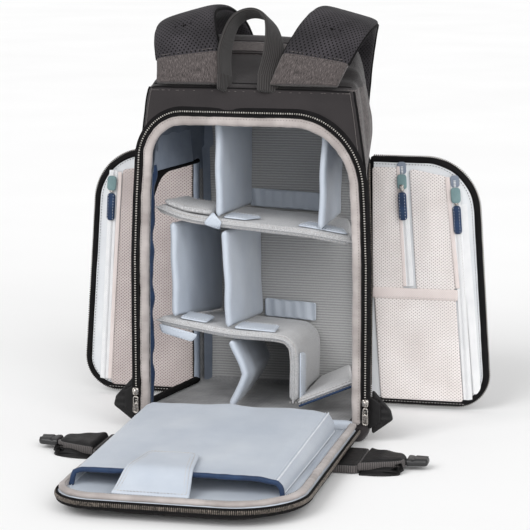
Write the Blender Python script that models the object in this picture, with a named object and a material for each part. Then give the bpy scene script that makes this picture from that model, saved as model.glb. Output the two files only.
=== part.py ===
"""Camera backpack, standing, with its back panel and both side doors open.

Metres, +Z up. The origin is the middle of the base, on the floor. -Y is the
harness side, whose panel lies open on the floor, +Y is the front of the bag,
and +X is to the right when looking along +Y.
"""
import math

import bmesh
import bpy
import numpy as np
from mathutils import Vector

# Main body
DEPTH = 0.194
NEAR_HALF = 0.150
FAR_HALF = 0.110
WALL = 0.008
BASE_TOP = 0.026
SIDE_OPENING_TOP = 0.320
SEAM_HEIGHT = 0.430
NEAR_CORNER = 0.010
FAR_CORNER = 0.018
NEAR_Y = -DEPTH / 2
FAR_Y = DEPTH / 2
POST_DEPTH = 0.034
FRONT_RETURN = 0.024
BAND_DEPTH = 0.009
ARCH_DEPTH = 0.030
GAP = 0.0004

# Main opening and the panel that closes it
OPENING_HALF = 0.1275
OPENING_TOP = 0.385
TOP_RADIUS_LEFT = 0.040
TOP_RADIUS_RIGHT = 0.070
TRIM_WIDTH = 0.0115
ZIP_OFFSET = 0.0160
ZIP_WIDTH = 0.0060
FLAP_AXIS_Y = -0.1035
FLAP_AXIS_Z = 0.0235
FLAP_HALF = 0.1375
FLAP_START = 0.004
FLAP_LENGTH = 0.376
FLAP_THICKNESS = 0.0125
FLAP_RADIUS_LEFT = 0.050
FLAP_RADIUS_RIGHT = 0.082

# Laptop sleeve on the panel
SLEEVE_HALF = 0.118
SLEEVE_CENTRE = -0.006
SLEEVE_START = 0.018
SLEEVE_MOUTH = 0.322
SLEEVE_RISE_ROOT = 0.0260
SLEEVE_RISE_MOUTH = 0.0190
SLEEVE_FLOOR = 0.0025
SLEEVE_WALL = 0.0055
TAB_ROOT_HALF = 0.044
TAB_END_HALF = 0.030
TAB_CENTRE = -0.024

# Side doors
DOOR_AXIS_X = 0.112
DOOR_WIDTH = 0.164
DOOR_TOP_WIDTH = 0.138
DOOR_BOTTOM = 0.006
DOOR_TOP = 0.328
DOOR_THICKNESS = 0.008
DOOR_RADIUS_TOP = 0.070
DOOR_RADIUS_BOTTOM = 0.042
POCKET_DEPTH = 0.0040

# Padded dividers
DIVIDER_NEAR_Y = -0.073
DIVIDER_FAR_Y = 0.0840
SHELF_THICKNESS = 0.011
DIVIDER_THICKNESS = 0.008

# Straps, handle and belt
STRAP_WIDTH = 0.070
STRAP_ROOT_LEFT = 0.074
STRAP_ROOT_RIGHT = 0.066
STRAP_THICKNESS = 0.011
HANDLE_CENTRE = -0.004
HANDLE_HALF = 0.027
HANDLE_HEIGHT = 0.082
HANDLE_WIDTH = 0.023
HANDLE_FOOT_RISE = 0.014
STRAP_FOOT_RISE = 0.0085
BELT_AXIS_X = 0.1605
BELT_AXIS_Z = 0.0155
BELT_LENGTH = 0.050
BELT_NEAR = -0.235
BELT_FAR = -0.157

SMOOTH_ANGLE = math.radians(40)
BEVEL_SHARE = 0.3
FLAT_ANGLE = math.radians(0.02)


# Scene helpers

def clear_scene():
    for thing in list(bpy.data.objects):
        bpy.data.objects.remove(thing)


def finish(name, colour, roughness, metallic=0.0):
    material = bpy.data.materials.new(name)
    material.use_nodes = True
    shader = material.node_tree.nodes["Principled BSDF"]
    shader.inputs["Base Color"].default_value = (*colour, 1.0)
    shader.inputs["Roughness"].default_value = roughness
    shader.inputs["Metallic"].default_value = metallic
    material.diffuse_color = (*colour, 1.0)
    return material


def joint_axis(name, place, parent=None):
    """Empty that marks a joint's axis; the pieces that move hang from it."""
    marker = bpy.data.objects.new(name, None)
    marker.empty_display_size = 0.02
    marker.location = Vector(place) - world_place(parent)
    marker.parent = parent
    bpy.context.scene.collection.objects.link(marker)
    return marker


def world_place(thing):
    place = Vector((0.0, 0.0, 0.0))
    while thing is not None:
        place += thing.location
        thing = thing.parent
    return place


def add_solid(name, mesh_data, material, axis=None):
    """Makes a named object of a closed bmesh given in world coordinates."""
    quads = [face for face in mesh_data.faces if len(face.verts) == 4]
    bmesh.ops.connect_verts_nonplanar(mesh_data, angle_limit=FLAT_ANGLE, faces=quads)
    bmesh.ops.recalc_face_normals(mesh_data, faces=mesh_data.faces)
    bmesh.ops.translate(mesh_data, verts=mesh_data.verts, vec=-world_place(axis))
    mesh = bpy.data.meshes.new(name)
    mesh_data.to_mesh(mesh)
    mesh_data.free()
    mesh.materials.append(material)
    mesh.shade_smooth()
    mesh.set_sharp_from_angle(angle=SMOOTH_ANGLE)
    solid = bpy.data.objects.new(name, mesh)
    solid.parent = axis
    bpy.context.scene.collection.objects.link(solid)
    return solid


def add_cutter(name, mesh_data):
    cutter = add_solid(name, mesh_data, None)
    cutter.hide_render = True
    cutter.display_type = 'WIRE'
    return cutter


def shape_by(solid, operation, cutter):
    change = solid.modifiers.new(operation.lower() + "_" + cutter.name, 'BOOLEAN')
    change.operation = operation
    change.solver = 'EXACT'
    change.object = cutter


# Geometry helpers

def on_floor_plane(a, b, height):
    return Vector((a, b, height))


def on_face_plane(a, b, depth):
    return Vector((a, depth, b))


def rounded_outline(corners, radii, steps=6):
    """Closed outline with straight edges and a true arc at each corner."""
    points = []
    for index, corner in enumerate(corners):
        here = Vector(corner)
        before = (Vector(corners[index - 1]) - here).normalized()
        after = (Vector(corners[(index + 1) % len(corners)]) - here).normalized()
        half = before.angle(after) / 2
        centre = here + (before + after).normalized() * (radii[index] / math.sin(half))
        start = here + before * (radii[index] / math.tan(half)) - centre
        end = here + after * (radii[index] / math.tan(half)) - centre
        first = math.atan2(start.y, start.x)
        turn = math.atan2(start.x * end.y - start.y * end.x, start.dot(end))
        for step in range(steps + 1):
            angle = first + turn * step / steps
            points.append((centre.x + radii[index] * math.cos(angle),
                           centre.y + radii[index] * math.sin(angle)))
    return points


def moved_outline(points, distance):
    """The outline with each point moved outwards by a distance, inwards if negative."""
    area = sum(p[0] * q[1] - q[0] * p[1] for p, q in zip(points, points[1:] + points[:1]))
    outward = 1 if area > 0 else -1
    moved = []
    for index, point in enumerate(points):
        before = Vector(points[index - 1])
        after = Vector(points[(index + 1) % len(points)])
        along = (after - before).normalized()
        moved.append((point[0] + outward * along.y * distance,
                      point[1] - outward * along.x * distance))
    return moved


def loft(rings):
    """Closed skin over rings of equally many points, with flat ends."""
    mesh_data = bmesh.new()
    rows = [[mesh_data.verts.new(point) for point in ring] for ring in rings]
    count = len(rows[0])
    for low, high in zip(rows, rows[1:]):
        for index in range(count):
            following = (index + 1) % count
            mesh_data.faces.new((low[index], low[following], high[following], high[index]))
    mesh_data.faces.new(rows[0])
    mesh_data.faces.new(rows[-1])
    return mesh_data


def pad(points, place, low, high, edge):
    """Flat panel over an outline, with its rims drawn in by an edge width."""
    small = moved_outline(points, -edge)
    return loft([[place(a, b, low) for a, b in small],
                 [place(a, b, low + edge) for a, b in points],
                 [place(a, b, high - edge) for a, b in points],
                 [place(a, b, high) for a, b in small]])


def box(low, high):
    corners = [(low[0], low[1]), (high[0], low[1]), (high[0], high[1]), (low[0], high[1])]
    return loft([[Vector((x, y, low[2])) for x, y in corners],
                 [Vector((x, y, high[2])) for x, y in corners]])


def smooth_path(points, steps=5):
    """Catmull-Rom curve through the given points."""
    given = [Vector(point) for point in points]
    ends = [given[0] * 2 - given[1]] + given + [given[-1] * 2 - given[-2]]
    path = []
    for a, b, c, d in zip(ends, ends[1:], ends[2:], ends[3:]):
        for step in range(steps):
            t = step / steps
            path.append(0.5 * (2 * b + (c - a) * t + (2 * a - 5 * b + 4 * c - d) * t * t
                               + (3 * b - a - 3 * c + d) * t * t * t))
    path.append(given[-1])
    return path


def sweep(path, sides, widths, thickness):
    """Band with bevelled edges carried along a path; sides point across its width."""
    rings = []
    last = len(path) - 1
    for index, point in enumerate(path):
        along = (path[min(index + 1, last)] - path[max(index - 1, 0)]).normalized()
        across = sides[index].normalized()
        up = across.cross(along).normalized()
        half = widths[index] / 2
        flat = half - BEVEL_SHARE * min(thickness, widths[index])
        high = thickness / 2
        profile = ((half, -0.2 * high), (half, 0.2 * high), (flat, high), (-flat, high),
                   (-half, 0.2 * high), (-half, -0.2 * high), (-flat, -high), (flat, -high))
        rings.append([point + across * a + up * b for a, b in profile])
    return loft(rings)


def flat_band(points, place, depth, width, thickness):
    """Band that follows an open line drawn in a plane and lies flat in that plane."""
    path = [place(a, b, depth) for a, b in points]
    normal = place(0, 0, 1) - place(0, 0, 0)
    sides = []
    for index in range(len(path)):
        along = path[min(index + 1, len(path) - 1)] - path[max(index - 1, 0)]
        sides.append(normal.cross(along).normalized())
    return sweep(path, sides, [width] * len(path), thickness)


def bent_slab(near_line, far_line, thickness):
    """Padded sheet between a line at the bag's near side and one at its far side."""
    rings = []
    for line, depth in ((near_line, DIVIDER_NEAR_Y), (far_line, DIVIDER_FAR_Y)):
        upper, lower = [], []
        for index, point in enumerate(line):
            before = Vector(line[max(index - 1, 0)])
            after = Vector(line[min(index + 1, len(line) - 1)])
            along = (after - before).normalized()
            offset = Vector((-along.y, along.x)) * thickness / 2
            upper.append(on_face_plane(point[0] + offset.x, point[1] + offset.y, depth))
            lower.append(on_face_plane(point[0] - offset.x, point[1] - offset.y, depth))
        rings.append(upper + lower[::-1])
    return loft(rings)


# Main body: one tapered form, cut into its sewn panels

def body_ring(height, inset, drop=0.0):
    """Horizontal section of the body, drawn in by an inset and lowered by a drop."""
    levels = (0.0, 0.012, 0.33, 0.37, 0.40, 0.43, 0.445, 0.46, 0.47, 0.478, 0.482)
    near_half = np.interp(height, levels, (NEAR_HALF - 0.008, NEAR_HALF, NEAR_HALF - 0.001,
                                           0.139, 0.129, 0.116, 0.113, 0.109, 0.103, 0.095, 0.088))
    far_half = np.interp(height, levels, (FAR_HALF - 0.008, FAR_HALF, FAR_HALF,
                                          0.110, 0.108, 0.104, 0.100, 0.095, 0.090, 0.083, 0.076))
    near_y = np.interp(height, levels, (NEAR_Y + 0.004, NEAR_Y, NEAR_Y, NEAR_Y, NEAR_Y, NEAR_Y,
                                        -0.050, -0.003, 0.028, 0.050, 0.060))
    far_y = np.interp(height, levels, (FAR_Y - 0.008, FAR_Y, FAR_Y, FAR_Y, FAR_Y, FAR_Y,
                                       0.0965, 0.094, 0.090, 0.084, 0.079))
    belly = np.interp(height, (0.33, 0.38, 0.45, 0.482), (0.0, 0.010, 0.004, 0.0))
    near_half, far_half = near_half - inset, far_half - inset
    near_y, far_y = near_y + inset, far_y - inset
    corners = [(-near_half, near_y), (near_half, near_y), (far_half, far_y), (-far_half, far_y)]
    limit = (far_y - near_y) * 0.3
    near_radius, far_radius = min(NEAR_CORNER, limit), min(FAR_CORNER, limit)
    steps = 3
    arcs = rounded_outline(corners, (near_radius, near_radius, far_radius, far_radius), steps)
    half_way = 2 * (steps + 1)
    right_side = bulged_line(arcs[half_way - 1], arcs[half_way], belly)
    left_side = bulged_line(arcs[-1], arcs[0], -belly)
    outline = arcs[:half_way] + right_side + arcs[half_way:] + left_side
    return [on_floor_plane(x, y, height - drop) for x, y in outline]


def bulged_line(start, end, belly):
    """Points between two ends, pushed out along X most in the middle."""
    shares = (0.25, 0.5, 0.75)
    return [(start[0] + (end[0] - start[0]) * share + belly * math.sin(math.pi * share),
             start[1] + (end[1] - start[1]) * share) for share in shares]


def opening_outline(offset, bottom):
    """Arched outline of the main opening, grown by an offset, open at the bottom."""
    half = OPENING_HALF + offset
    top = OPENING_TOP + offset
    corners = [(half, bottom), (half, top), (-half, top), (-half, bottom)]
    radii = (0.001, TOP_RADIUS_RIGHT + offset, TOP_RADIUS_LEFT + offset, 0.001)
    outline = rounded_outline(corners, radii, steps=8)
    ends = 9
    return [(half, bottom)] + outline[ends:-ends] + [(-half, bottom)]


def build_body(nylon, heather, lining):
    levels = (0.0, 0.012, 0.33, 0.35, 0.37, 0.39, 0.41, 0.43, 0.445, 0.46, 0.47, 0.478, 0.482)
    low_y, high_y = 2 * NEAR_Y, 2 * FAR_Y
    cavity = add_cutter("cut_cavity", loft([body_ring(level, WALL, 0.011)
                                            for level in levels[:-1]]))
    arch = [on_face_plane(a, b, 0.0) for a, b in opening_outline(0.0, -0.01)]
    arch_near = [point + Vector((0, low_y, 0)) for point in arch]
    arch_far = [point + Vector((0, NEAR_Y + ARCH_DEPTH, 0)) for point in arch]
    opening = add_cutter("cut_opening", loft([arch_near, arch_far]))
    post_y = NEAR_Y + POST_DEPTH
    band_y = NEAR_Y + BAND_DEPTH
    return_y = FAR_Y - FRONT_RETURN
    top_z = SIDE_OPENING_TOP + GAP
    panels = (
        ("base_panel", nylon, (-0.2, low_y, -0.1), (0.2, high_y, BASE_TOP)),
        ("side_post_left", nylon, (-0.2, low_y, BASE_TOP + GAP), (0, post_y, SIDE_OPENING_TOP)),
        ("side_post_right", nylon, (0, low_y, BASE_TOP + GAP), (0.2, post_y, SIDE_OPENING_TOP)),
        ("front_panel", lining, (-0.2, return_y + GAP, BASE_TOP + GAP),
         (0.2, high_y, SEAM_HEIGHT)),
        ("back_band", nylon, (-0.2, low_y, top_z), (0.2, band_y, SEAM_HEIGHT)),
        ("hood_side_left", heather, (-0.2, band_y + GAP, top_z), (0, return_y, SEAM_HEIGHT)),
        ("hood_side_right", heather, (0, band_y + GAP, top_z), (0.2, return_y, SEAM_HEIGHT)),
        ("hood_top", nylon, (-0.2, low_y, SEAM_HEIGHT + GAP), (0.2, high_y, 0.6)),
    )
    for name, material, low, high in panels:
        panel = add_solid(name, loft([body_ring(level, 0.0) for level in levels]), material)
        region = add_cutter("region_" + name, box(low, high))
        shape_by(panel, 'INTERSECT', region)
        if name != "base_panel":
            shape_by(panel, 'DIFFERENCE', cavity)
        if name in ("side_post_left", "side_post_right", "back_band"):
            shape_by(panel, 'DIFFERENCE', opening)


def build_opening_edge(binding, tape):
    """Padded binding and zip tape around the main opening."""
    start = BASE_TOP + 0.003
    trim_line = opening_outline(TRIM_WIDTH / 2, start)
    add_solid("opening_trim", flat_band(trim_line, on_face_plane, NEAR_Y - 0.0020,
                                        TRIM_WIDTH, 0.0030), binding)
    zip_line = opening_outline(ZIP_OFFSET, start)
    add_solid("main_zip", flat_band(zip_line, on_face_plane, NEAR_Y - 0.0013,
                                    ZIP_WIDTH, 0.0018), tape)


def build_front_pocket(heather):
    outline = rounded_outline([(-0.094, 0.034), (0.094, 0.034), (0.090, 0.352), (-0.090, 0.352)],
                              (0.02, 0.02, 0.035, 0.035), steps=4)
    add_solid("front_pocket", pad(outline, on_face_plane, FAR_Y + GAP, FAR_Y + 0.028, 0.010),
              heather)


def build_strap_anchors(webbing):
    """Folded webbing wings at the bag's lower corners, where the strap ends are sewn."""
    for side, name in ((-1, "strap_anchor_left"), (1, "strap_anchor_right")):
        root = side * (NEAR_HALF + 0.0006)
        tip = side * (NEAR_HALF + 0.027)
        outline = rounded_outline([(root, 0.010), (tip, 0.030), (tip - side * 0.003, 0.042),
                                   (root, 0.068)], (0.002, 0.004, 0.004, 0.002), steps=3)
        add_solid(name, pad(outline, on_face_plane, -0.0900, -0.0835, 0.0015), webbing)


# Dividers

def build_dividers(velvet, lining):
    shelf_near = [(-0.124, 0.280), (-0.090, 0.268), (-0.045, 0.262), (0.060, 0.2535),
                  (0.124, 0.244)]
    shelf_far = [(-0.092, 0.260), (-0.070, 0.257), (-0.040, 0.254), (0.045, 0.248),
                 (0.090, 0.243)]
    add_solid("shelf_upper", bent_slab(shelf_near, shelf_far, SHELF_THICKNESS), velvet)
    wall_near = [(-0.124, 0.138), (-0.080, 0.131), (-0.030, 0.124), (0.028, 0.121),
                 (0.043, 0.115), (0.049, 0.100), (0.049, 0.041)]
    wall_far = [(-0.092, 0.116), (-0.065, 0.114), (-0.028, 0.111), (0.026, 0.108),
                (0.040, 0.102), (0.046, 0.088), (0.046, 0.037)]
    add_solid("shelf_middle", bent_slab(wall_near, wall_far, SHELF_THICKNESS), velvet)
    add_solid("cell_floor", bent_slab([(0.0565, 0.042), (0.124, 0.071)],
                                      [(0.0535, 0.036), (0.092, 0.055)], DIVIDER_THICKNESS), velvet)
    upright = (
        ("divider_upper_left", (-0.045, 0.2705), (-0.046, 0.398), (-0.042, 0.2635), (-0.043, 0.398)),
        ("divider_upper_right", (0.083, 0.2590), (0.088, 0.390), (0.074, 0.2530), (0.078, 0.398)),
        ("divider_middle_left", (-0.101, 0.1435), (-0.104, 0.2605), (-0.082, 0.1235),
         (-0.084, 0.2510)),
        ("divider_middle_right", (-0.033, 0.1325), (-0.038, 0.2525), (-0.028, 0.1190),
         (-0.031, 0.2455)),
    )
    for name, near_low, near_high, far_low, far_high in upright:
        add_solid(name, bent_slab([near_low, near_high], [far_low, far_high],
                                  DIVIDER_THICKNESS), lining)
    add_solid("divider_lower", bent_slab(
        [(-0.030, 0.1150), (-0.0145, 0.080), (-0.0135, 0.066), (-0.030, 0.031)],
        [(-0.036, 0.1020), (-0.0205, 0.072), (-0.0195, 0.060), (-0.036, 0.030)],
        DIVIDER_THICKNESS), lining)
    for name, centre, half, low in (("hook_strip_upper", 0.005, 0.046, 0.262),
                                    ("hook_strip_middle", 0.012, 0.034, 0.118)):
        outline = rounded_outline([(centre - half, low), (centre + half, low - 0.006),
                                   (centre + half, low + 0.018), (centre - half, low + 0.022)],
                                  (0.003,) * 4, steps=2)
        add_solid(name, pad(outline, on_face_plane, DIVIDER_FAR_Y + 0.0006,
                            FAR_Y - WALL - GAP, 0.0008), lining)


# Back panel, hinged at the bag's bottom edge

def flap_point(a, along, rise):
    """Place on the open panel: across, along from the hinge, and above its face."""
    return Vector((a, FLAP_AXIS_Y - along, FLAP_AXIS_Z + rise))


def flap_outline(offset):
    half = FLAP_HALF + offset
    end = FLAP_LENGTH + offset
    corners = [(-half, FLAP_START), (half, FLAP_START), (half, end), (-half, end)]
    radii = (0.012, 0.012, FLAP_RADIUS_RIGHT + offset, FLAP_RADIUS_LEFT + offset)
    return rounded_outline(corners, radii, steps=8)


def flap_edge_line(offset):
    """The outline without its hinge side, from the left root round to the right."""
    outline = flap_outline(offset)
    per_corner = 9
    return outline[2 * per_corner - 1:] + outline[:1]


def build_flap(axis, padding, mesh_black, binding, coil, satin, navy):
    add_solid("flap_panel", pad(flap_outline(0.0), flap_point, -FLAP_THICKNESS, 0.0, 0.003),
              padding, axis)
    under = -FLAP_THICKNESS - GAP
    back_pad = rounded_outline([(-0.110, 0.140), (0.110, 0.140), (0.102, 0.345), (-0.102, 0.345)],
                               (0.02, 0.02, 0.05, 0.05), steps=4)
    add_solid("back_pad", pad(back_pad, flap_point, -FLAP_AXIS_Z, under, 0.0035), mesh_black, axis)
    belt_edge = BELT_AXIS_X - 0.001
    lumbar = rounded_outline([(-belt_edge, 0.050), (belt_edge, 0.050), (belt_edge, 0.132),
                              (-belt_edge, 0.132)], (0.006,) * 4, steps=3)
    add_solid("lumbar_pad", pad(lumbar, flap_point, -FLAP_AXIS_Z, under, 0.0035), mesh_black, axis)
    trim_line = flap_edge_line(-0.0080)
    add_solid("flap_trim", flat_band(trim_line, flap_point, 0.0014, 0.0095, 0.0020), binding, axis)
    coil_line = flap_edge_line(0.0018)
    add_solid("flap_zip", flat_band(coil_line, flap_point, -0.0055, 0.0026, 0.0050), coil, axis)
    build_sleeve(axis, satin, navy)


def build_sleeve(axis, satin, navy):
    """Flat pocket with its mouth towards the panel's free end."""
    low = GAP
    left, right = SLEEVE_CENTRE - SLEEVE_HALF, SLEEVE_CENTRE + SLEEVE_HALF
    shoulder = 0.006
    rows = []
    for along, rise in ((SLEEVE_START, SLEEVE_RISE_ROOT), (SLEEVE_MOUTH, SLEEVE_RISE_MOUTH)):
        rows.append([flap_point(a, along, b) for a, b in
                     ((left, low), (right, low), (right, rise - shoulder),
                      (right - shoulder, rise), (left + shoulder, rise),
                      (left, rise - shoulder))])
    sleeve = add_solid("laptop_sleeve", loft(rows), satin, axis)
    floor = low + SLEEVE_FLOOR
    hollow_rows = []
    for along, rise in ((SLEEVE_START + 0.010, SLEEVE_RISE_ROOT),
                        (SLEEVE_MOUTH + 0.010, SLEEVE_RISE_MOUTH - 0.0003)):
        roof = rise - SLEEVE_WALL
        hollow_rows.append([flap_point(a, along, b) for a, b in
                            ((left + SLEEVE_WALL, floor), (right - SLEEVE_WALL, floor),
                             (right - SLEEVE_WALL, roof), (left + SLEEVE_WALL, roof))])
    hollow = add_cutter("cut_sleeve", loft(hollow_rows))
    shape_by(sleeve, 'DIFFERENCE', hollow)
    rim_along = SLEEVE_MOUTH + 0.0022
    rim = [flap_point(a, rim_along, SLEEVE_RISE_MOUTH - 0.0028)
           for a in (left + 0.004, right - 0.004)]
    add_solid("sleeve_binding", sweep(rim, [Vector((0, 1, 0))] * 2, [0.0036, 0.0036], 0.0050),
              navy, axis)


def build_sleeve_tab(flap_axis, satin):
    """Closing tab, sewn near the panel's free end and folded back over the sleeve."""
    root = 0.361
    end = 0.262
    axis = joint_axis("axis_sleeve_tab", flap_point(TAB_CENTRE, root, 0.0030), flap_axis)
    clear = 0.0012
    line = [(root, 0.0030), (SLEEVE_MOUTH + 0.012, SLEEVE_RISE_MOUTH - 0.002),
            (SLEEVE_MOUTH - 0.004, SLEEVE_RISE_MOUTH + clear + 0.0012), (end, 0.0230)]
    path = smooth_path([flap_point(TAB_CENTRE, along, rise) for along, rise in line], steps=4)
    last = len(path) - 1
    taper = TAB_ROOT_HALF - TAB_END_HALF
    widths = [2 * (TAB_ROOT_HALF - taper * index / last) for index in range(last)]
    widths.append(2 * TAB_END_HALF - 0.010)
    add_solid("sleeve_tab", sweep(path, [Vector((1, 0, 0))] * len(path), widths, 0.0022),
              satin, axis)


def build_belts(flap_axis, nylon, plastic):
    for side, word in ((-1, "left"), (1, "right")):
        axis = joint_axis("axis_hip_belt_" + word, (side * BELT_AXIS_X, (BELT_NEAR + BELT_FAR) / 2,
                                                    BELT_AXIS_Z), flap_axis)
        start = side * (BELT_AXIS_X + 0.0006)
        end = side * (BELT_AXIS_X + BELT_LENGTH)
        outline = rounded_outline([(start, BELT_NEAR), (end, BELT_NEAR + 0.020),
                                   (end, BELT_FAR - 0.022), (start, BELT_FAR)],
                                  (0.005, 0.012, 0.012, 0.005), steps=4)
        add_solid("hip_belt_" + word, pad(outline, on_floor_plane, 0.0004, 0.0150, 0.004),
                  nylon, axis)
        tip = [Vector((end + side * (0.0008 + step), (BELT_NEAR + BELT_FAR) / 2, 0.0095))
               for step in (0.0, 0.006, 0.020, 0.026)]
        add_solid("belt_buckle_" + word, sweep(tip, [Vector((0, 1, 0))] * 4,
                                               [0.026, 0.030, 0.024, 0.016], 0.009), plastic, axis)


# Side doors

def door_point(side):
    return lambda along, height, depth: Vector((side * (DOOR_AXIS_X + along), depth, height))


def door_outline(offset):
    end = DOOR_WIDTH + offset
    low = DOOR_BOTTOM - offset
    high = DOOR_TOP + offset
    top_end = DOOR_TOP_WIDTH + offset
    corners = [(0.0008, low), (end, low), (top_end, high), (0.0008, high)]
    radii = (0.004, DOOR_RADIUS_BOTTOM + offset, DOOR_RADIUS_TOP + offset, 0.004)
    return rounded_outline(corners, radii, steps=7)


def door_edge_line(offset):
    """Line round the door's free edges, from its lower hinge end to its upper one."""
    outline = door_outline(offset)
    per_corner = 8
    return [(0.010, DOOR_BOTTOM - offset)] + outline[per_corner:-per_corner] + [
        (0.010, DOOR_TOP + offset)]


def build_doors(nylon, tape, mesh_pale):
    """Doors with their pockets; gives back the two hinge axes."""
    axes = {}
    face = FAR_Y - GAP
    pockets = (
        ("door_pocket_left", -1, [(0.030, 0.030), (0.123, 0.030), (0.100, 0.308), (0.030, 0.308)]),
        ("door_pocket_upper", 1, [(0.030, 0.162), (0.108, 0.162), (0.095, 0.308), (0.030, 0.308)]),
        ("door_pocket_lower", 1, [(0.030, 0.030), (0.120, 0.030), (0.108, 0.156), (0.030, 0.156)]),
    )
    for side, word in ((-1, "left"), (1, "right")):
        place = door_point(side)
        axis = joint_axis("axis_door_" + word, (side * DOOR_AXIS_X, FAR_Y, DOOR_BOTTOM))
        axes[side] = axis
        add_solid("door_panel_" + word, pad(door_outline(0.0), place, FAR_Y,
                                            FAR_Y + DOOR_THICKNESS, 0.002), nylon, axis)
        edge = door_edge_line(0.0018)
        add_solid("door_zip_" + word, flat_band(edge, place, FAR_Y + DOOR_THICKNESS / 2,
                                                0.0026, 0.0050), tape, axis)
    for name, side, corners in pockets:
        outline = rounded_outline(corners, (0.008,) * 4, steps=3)
        add_solid(name, pad(outline, door_point(side), face - POCKET_DEPTH, face, 0.0012),
                  mesh_pale, axes[side])
    return axes


def build_pocket_zips(door_axes, white, metal, navy):
    """White zips on the doors, each with a slider that runs down it and a hanging pull."""
    zips = (
        ("left", -1, 0.1185, 0.284, 0.1310, 0.050),
        ("inner", 1, 0.0430, 0.298, 0.0510, 0.170),
        ("outer", 1, 0.1125, 0.282, 0.1310, 0.030),
    )
    for word, side, top_along, top, low_along, low in zips:
        place = door_point(side)
        over_pocket = POCKET_DEPTH if word == "inner" else 0.0
        face = FAR_Y - GAP - over_pocket
        line = [(top_along, top), (low_along, low)]
        add_solid("pocket_zip_" + word, flat_band(line, place, face - 0.0010, 0.0090, 0.0014),
                  white, door_axes[side])
        run = (Vector((low_along, low)) - Vector((top_along, top))).normalized()
        start = Vector((top_along, top)) + run * 0.004
        end = start + run * 0.009
        slider_face = face - 0.0040
        axis = joint_axis("axis_pocket_slider_" + word,
                          place(start.x, start.y, slider_face), door_axes[side])
        add_solid("pocket_slider_" + word,
                  flat_band([tuple(start), tuple(end)], place, slider_face, 0.0058, 0.0034),
                  metal, axis)
        hang = start + run * 0.0108
        tail = start + run * 0.0450
        pull_axis = joint_axis("axis_pocket_pull_" + word,
                               place(hang.x, hang.y, slider_face), axis)
        add_solid("pocket_pull_" + word,
                  flat_band([tuple(hang), tuple(tail)], place, slider_face, 0.0085, 0.0022),
                  navy, pull_axis)


def build_main_sliders(metal):
    """Sliders at the lower ends of the main zip, with their hanging pulls."""
    rise = 0.047
    hang = rise - 0.0018
    across = OPENING_HALF + ZIP_OFFSET + 0.0010
    for side, word in ((-1, "left"), (1, "right")):
        depth = NEAR_Y - 0.0045
        start = (side * across, rise)
        end = (side * across, rise + 0.011)
        axis = joint_axis("axis_main_slider_" + word, on_face_plane(*start, depth))
        add_solid("main_slider_" + word,
                  flat_band([start, end], on_face_plane, depth, 0.0066, 0.0036), metal, axis)
        pull_axis = joint_axis("axis_main_pull_" + word,
                               on_face_plane(start[0], hang, depth), axis)
        pull = [(start[0], hang), (start[0], rise - 0.0220)]
        add_solid("main_pull_" + word,
                  flat_band(pull, on_face_plane, depth, 0.0060, 0.0022), metal, pull_axis)


# Shoulder straps and handle

def strap_root(side):
    return (side * (STRAP_ROOT_LEFT if side < 0 else STRAP_ROOT_RIGHT), NEAR_Y + 0.001,
            SEAM_HEIGHT + STRAP_FOOT_RISE)


def strap_path(side):
    """Middle line: up from the root, over the top of the bag and down behind it."""
    over = [(0.077, -0.087, 0.462), (0.088, -0.062, 0.488), (0.096, -0.028, 0.505),
            (0.097, 0.016, 0.509), (0.092, 0.062, 0.505), (0.083, 0.103, 0.486),
            (0.075, 0.128, 0.448), (0.071, 0.139, 0.395), (0.069, 0.142, 0.330),
            (0.068, 0.142, 0.262)]
    return smooth_path([strap_root(side)] + [(side * x, y, z) for x, y, z in over], steps=3)


def build_straps(mesh_black, plastic):
    for side, word in ((-1, "left"), (1, "right")):
        axis = joint_axis("axis_shoulder_strap_" + word, strap_root(side))
        path = strap_path(side)
        sides, widths = [], []
        for index in range(len(path)):
            share = index / (len(path) - 1)
            roll = math.radians(16) * math.sin(math.pi * min(share / 0.7, 1.0))
            sides.append(Vector((side * math.cos(roll), 0, -math.sin(roll))))
            widths.append(STRAP_WIDTH * np.interp(share, (0, 0.25, 0.6, 1), (1, 0.94, 0.86, 0.62)))
        add_solid("shoulder_strap_" + word, sweep(path, sides, widths, STRAP_THICKNESS),
                  mesh_black, axis)
        low = path[-1]
        buckle = [low + Vector((0, 0, -0.0010 - step)) for step in (0.0, 0.008, 0.026, 0.034)]
        add_solid("strap_buckle_" + word, sweep(buckle, [Vector((1, 0, 0))] * 4,
                                                [0.030, 0.034, 0.034, 0.028], 0.0075),
                  plastic, axis)


def build_handle(webbing):
    """Loop of wide webbing that turns its flat side outwards towards its right foot."""
    foot_y = NEAR_Y + 0.003
    foot_z = SEAM_HEIGHT + HANDLE_FOOT_RISE
    axis = joint_axis("axis_grab_handle", (HANDLE_CENTRE, foot_y, foot_z))
    lean = math.radians(25)
    points, turns = [], []
    for across, share, turn in ((-1.0, 0.0, 0.35), (-1.12, 0.42, 0.30), (-0.80, 0.86, 0.10),
                                (0.0, 1.0, 0.0), (0.80, 0.86, 0.25), (1.12, 0.42, 0.75),
                                (1.0, 0.0, 0.90)):
        height = HANDLE_HEIGHT * share
        points.append((HANDLE_CENTRE + HANDLE_HALF * across,
                       foot_y + height * math.sin(lean), foot_z + height * math.cos(lean)))
        turns.append(turn)
    steps = 4
    path = smooth_path(points, steps)
    sides = []
    for index in range(len(path)):
        turn = np.interp(index / steps, range(len(turns)), turns)
        flat = math.sqrt(1.0 - turn * turn)
        sides.append(Vector((turn, flat * math.cos(lean), -flat * math.sin(lean))))
    add_solid("grab_handle", sweep(path, sides, [HANDLE_WIDTH] * len(path), 0.0045),
              webbing, axis)


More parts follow.
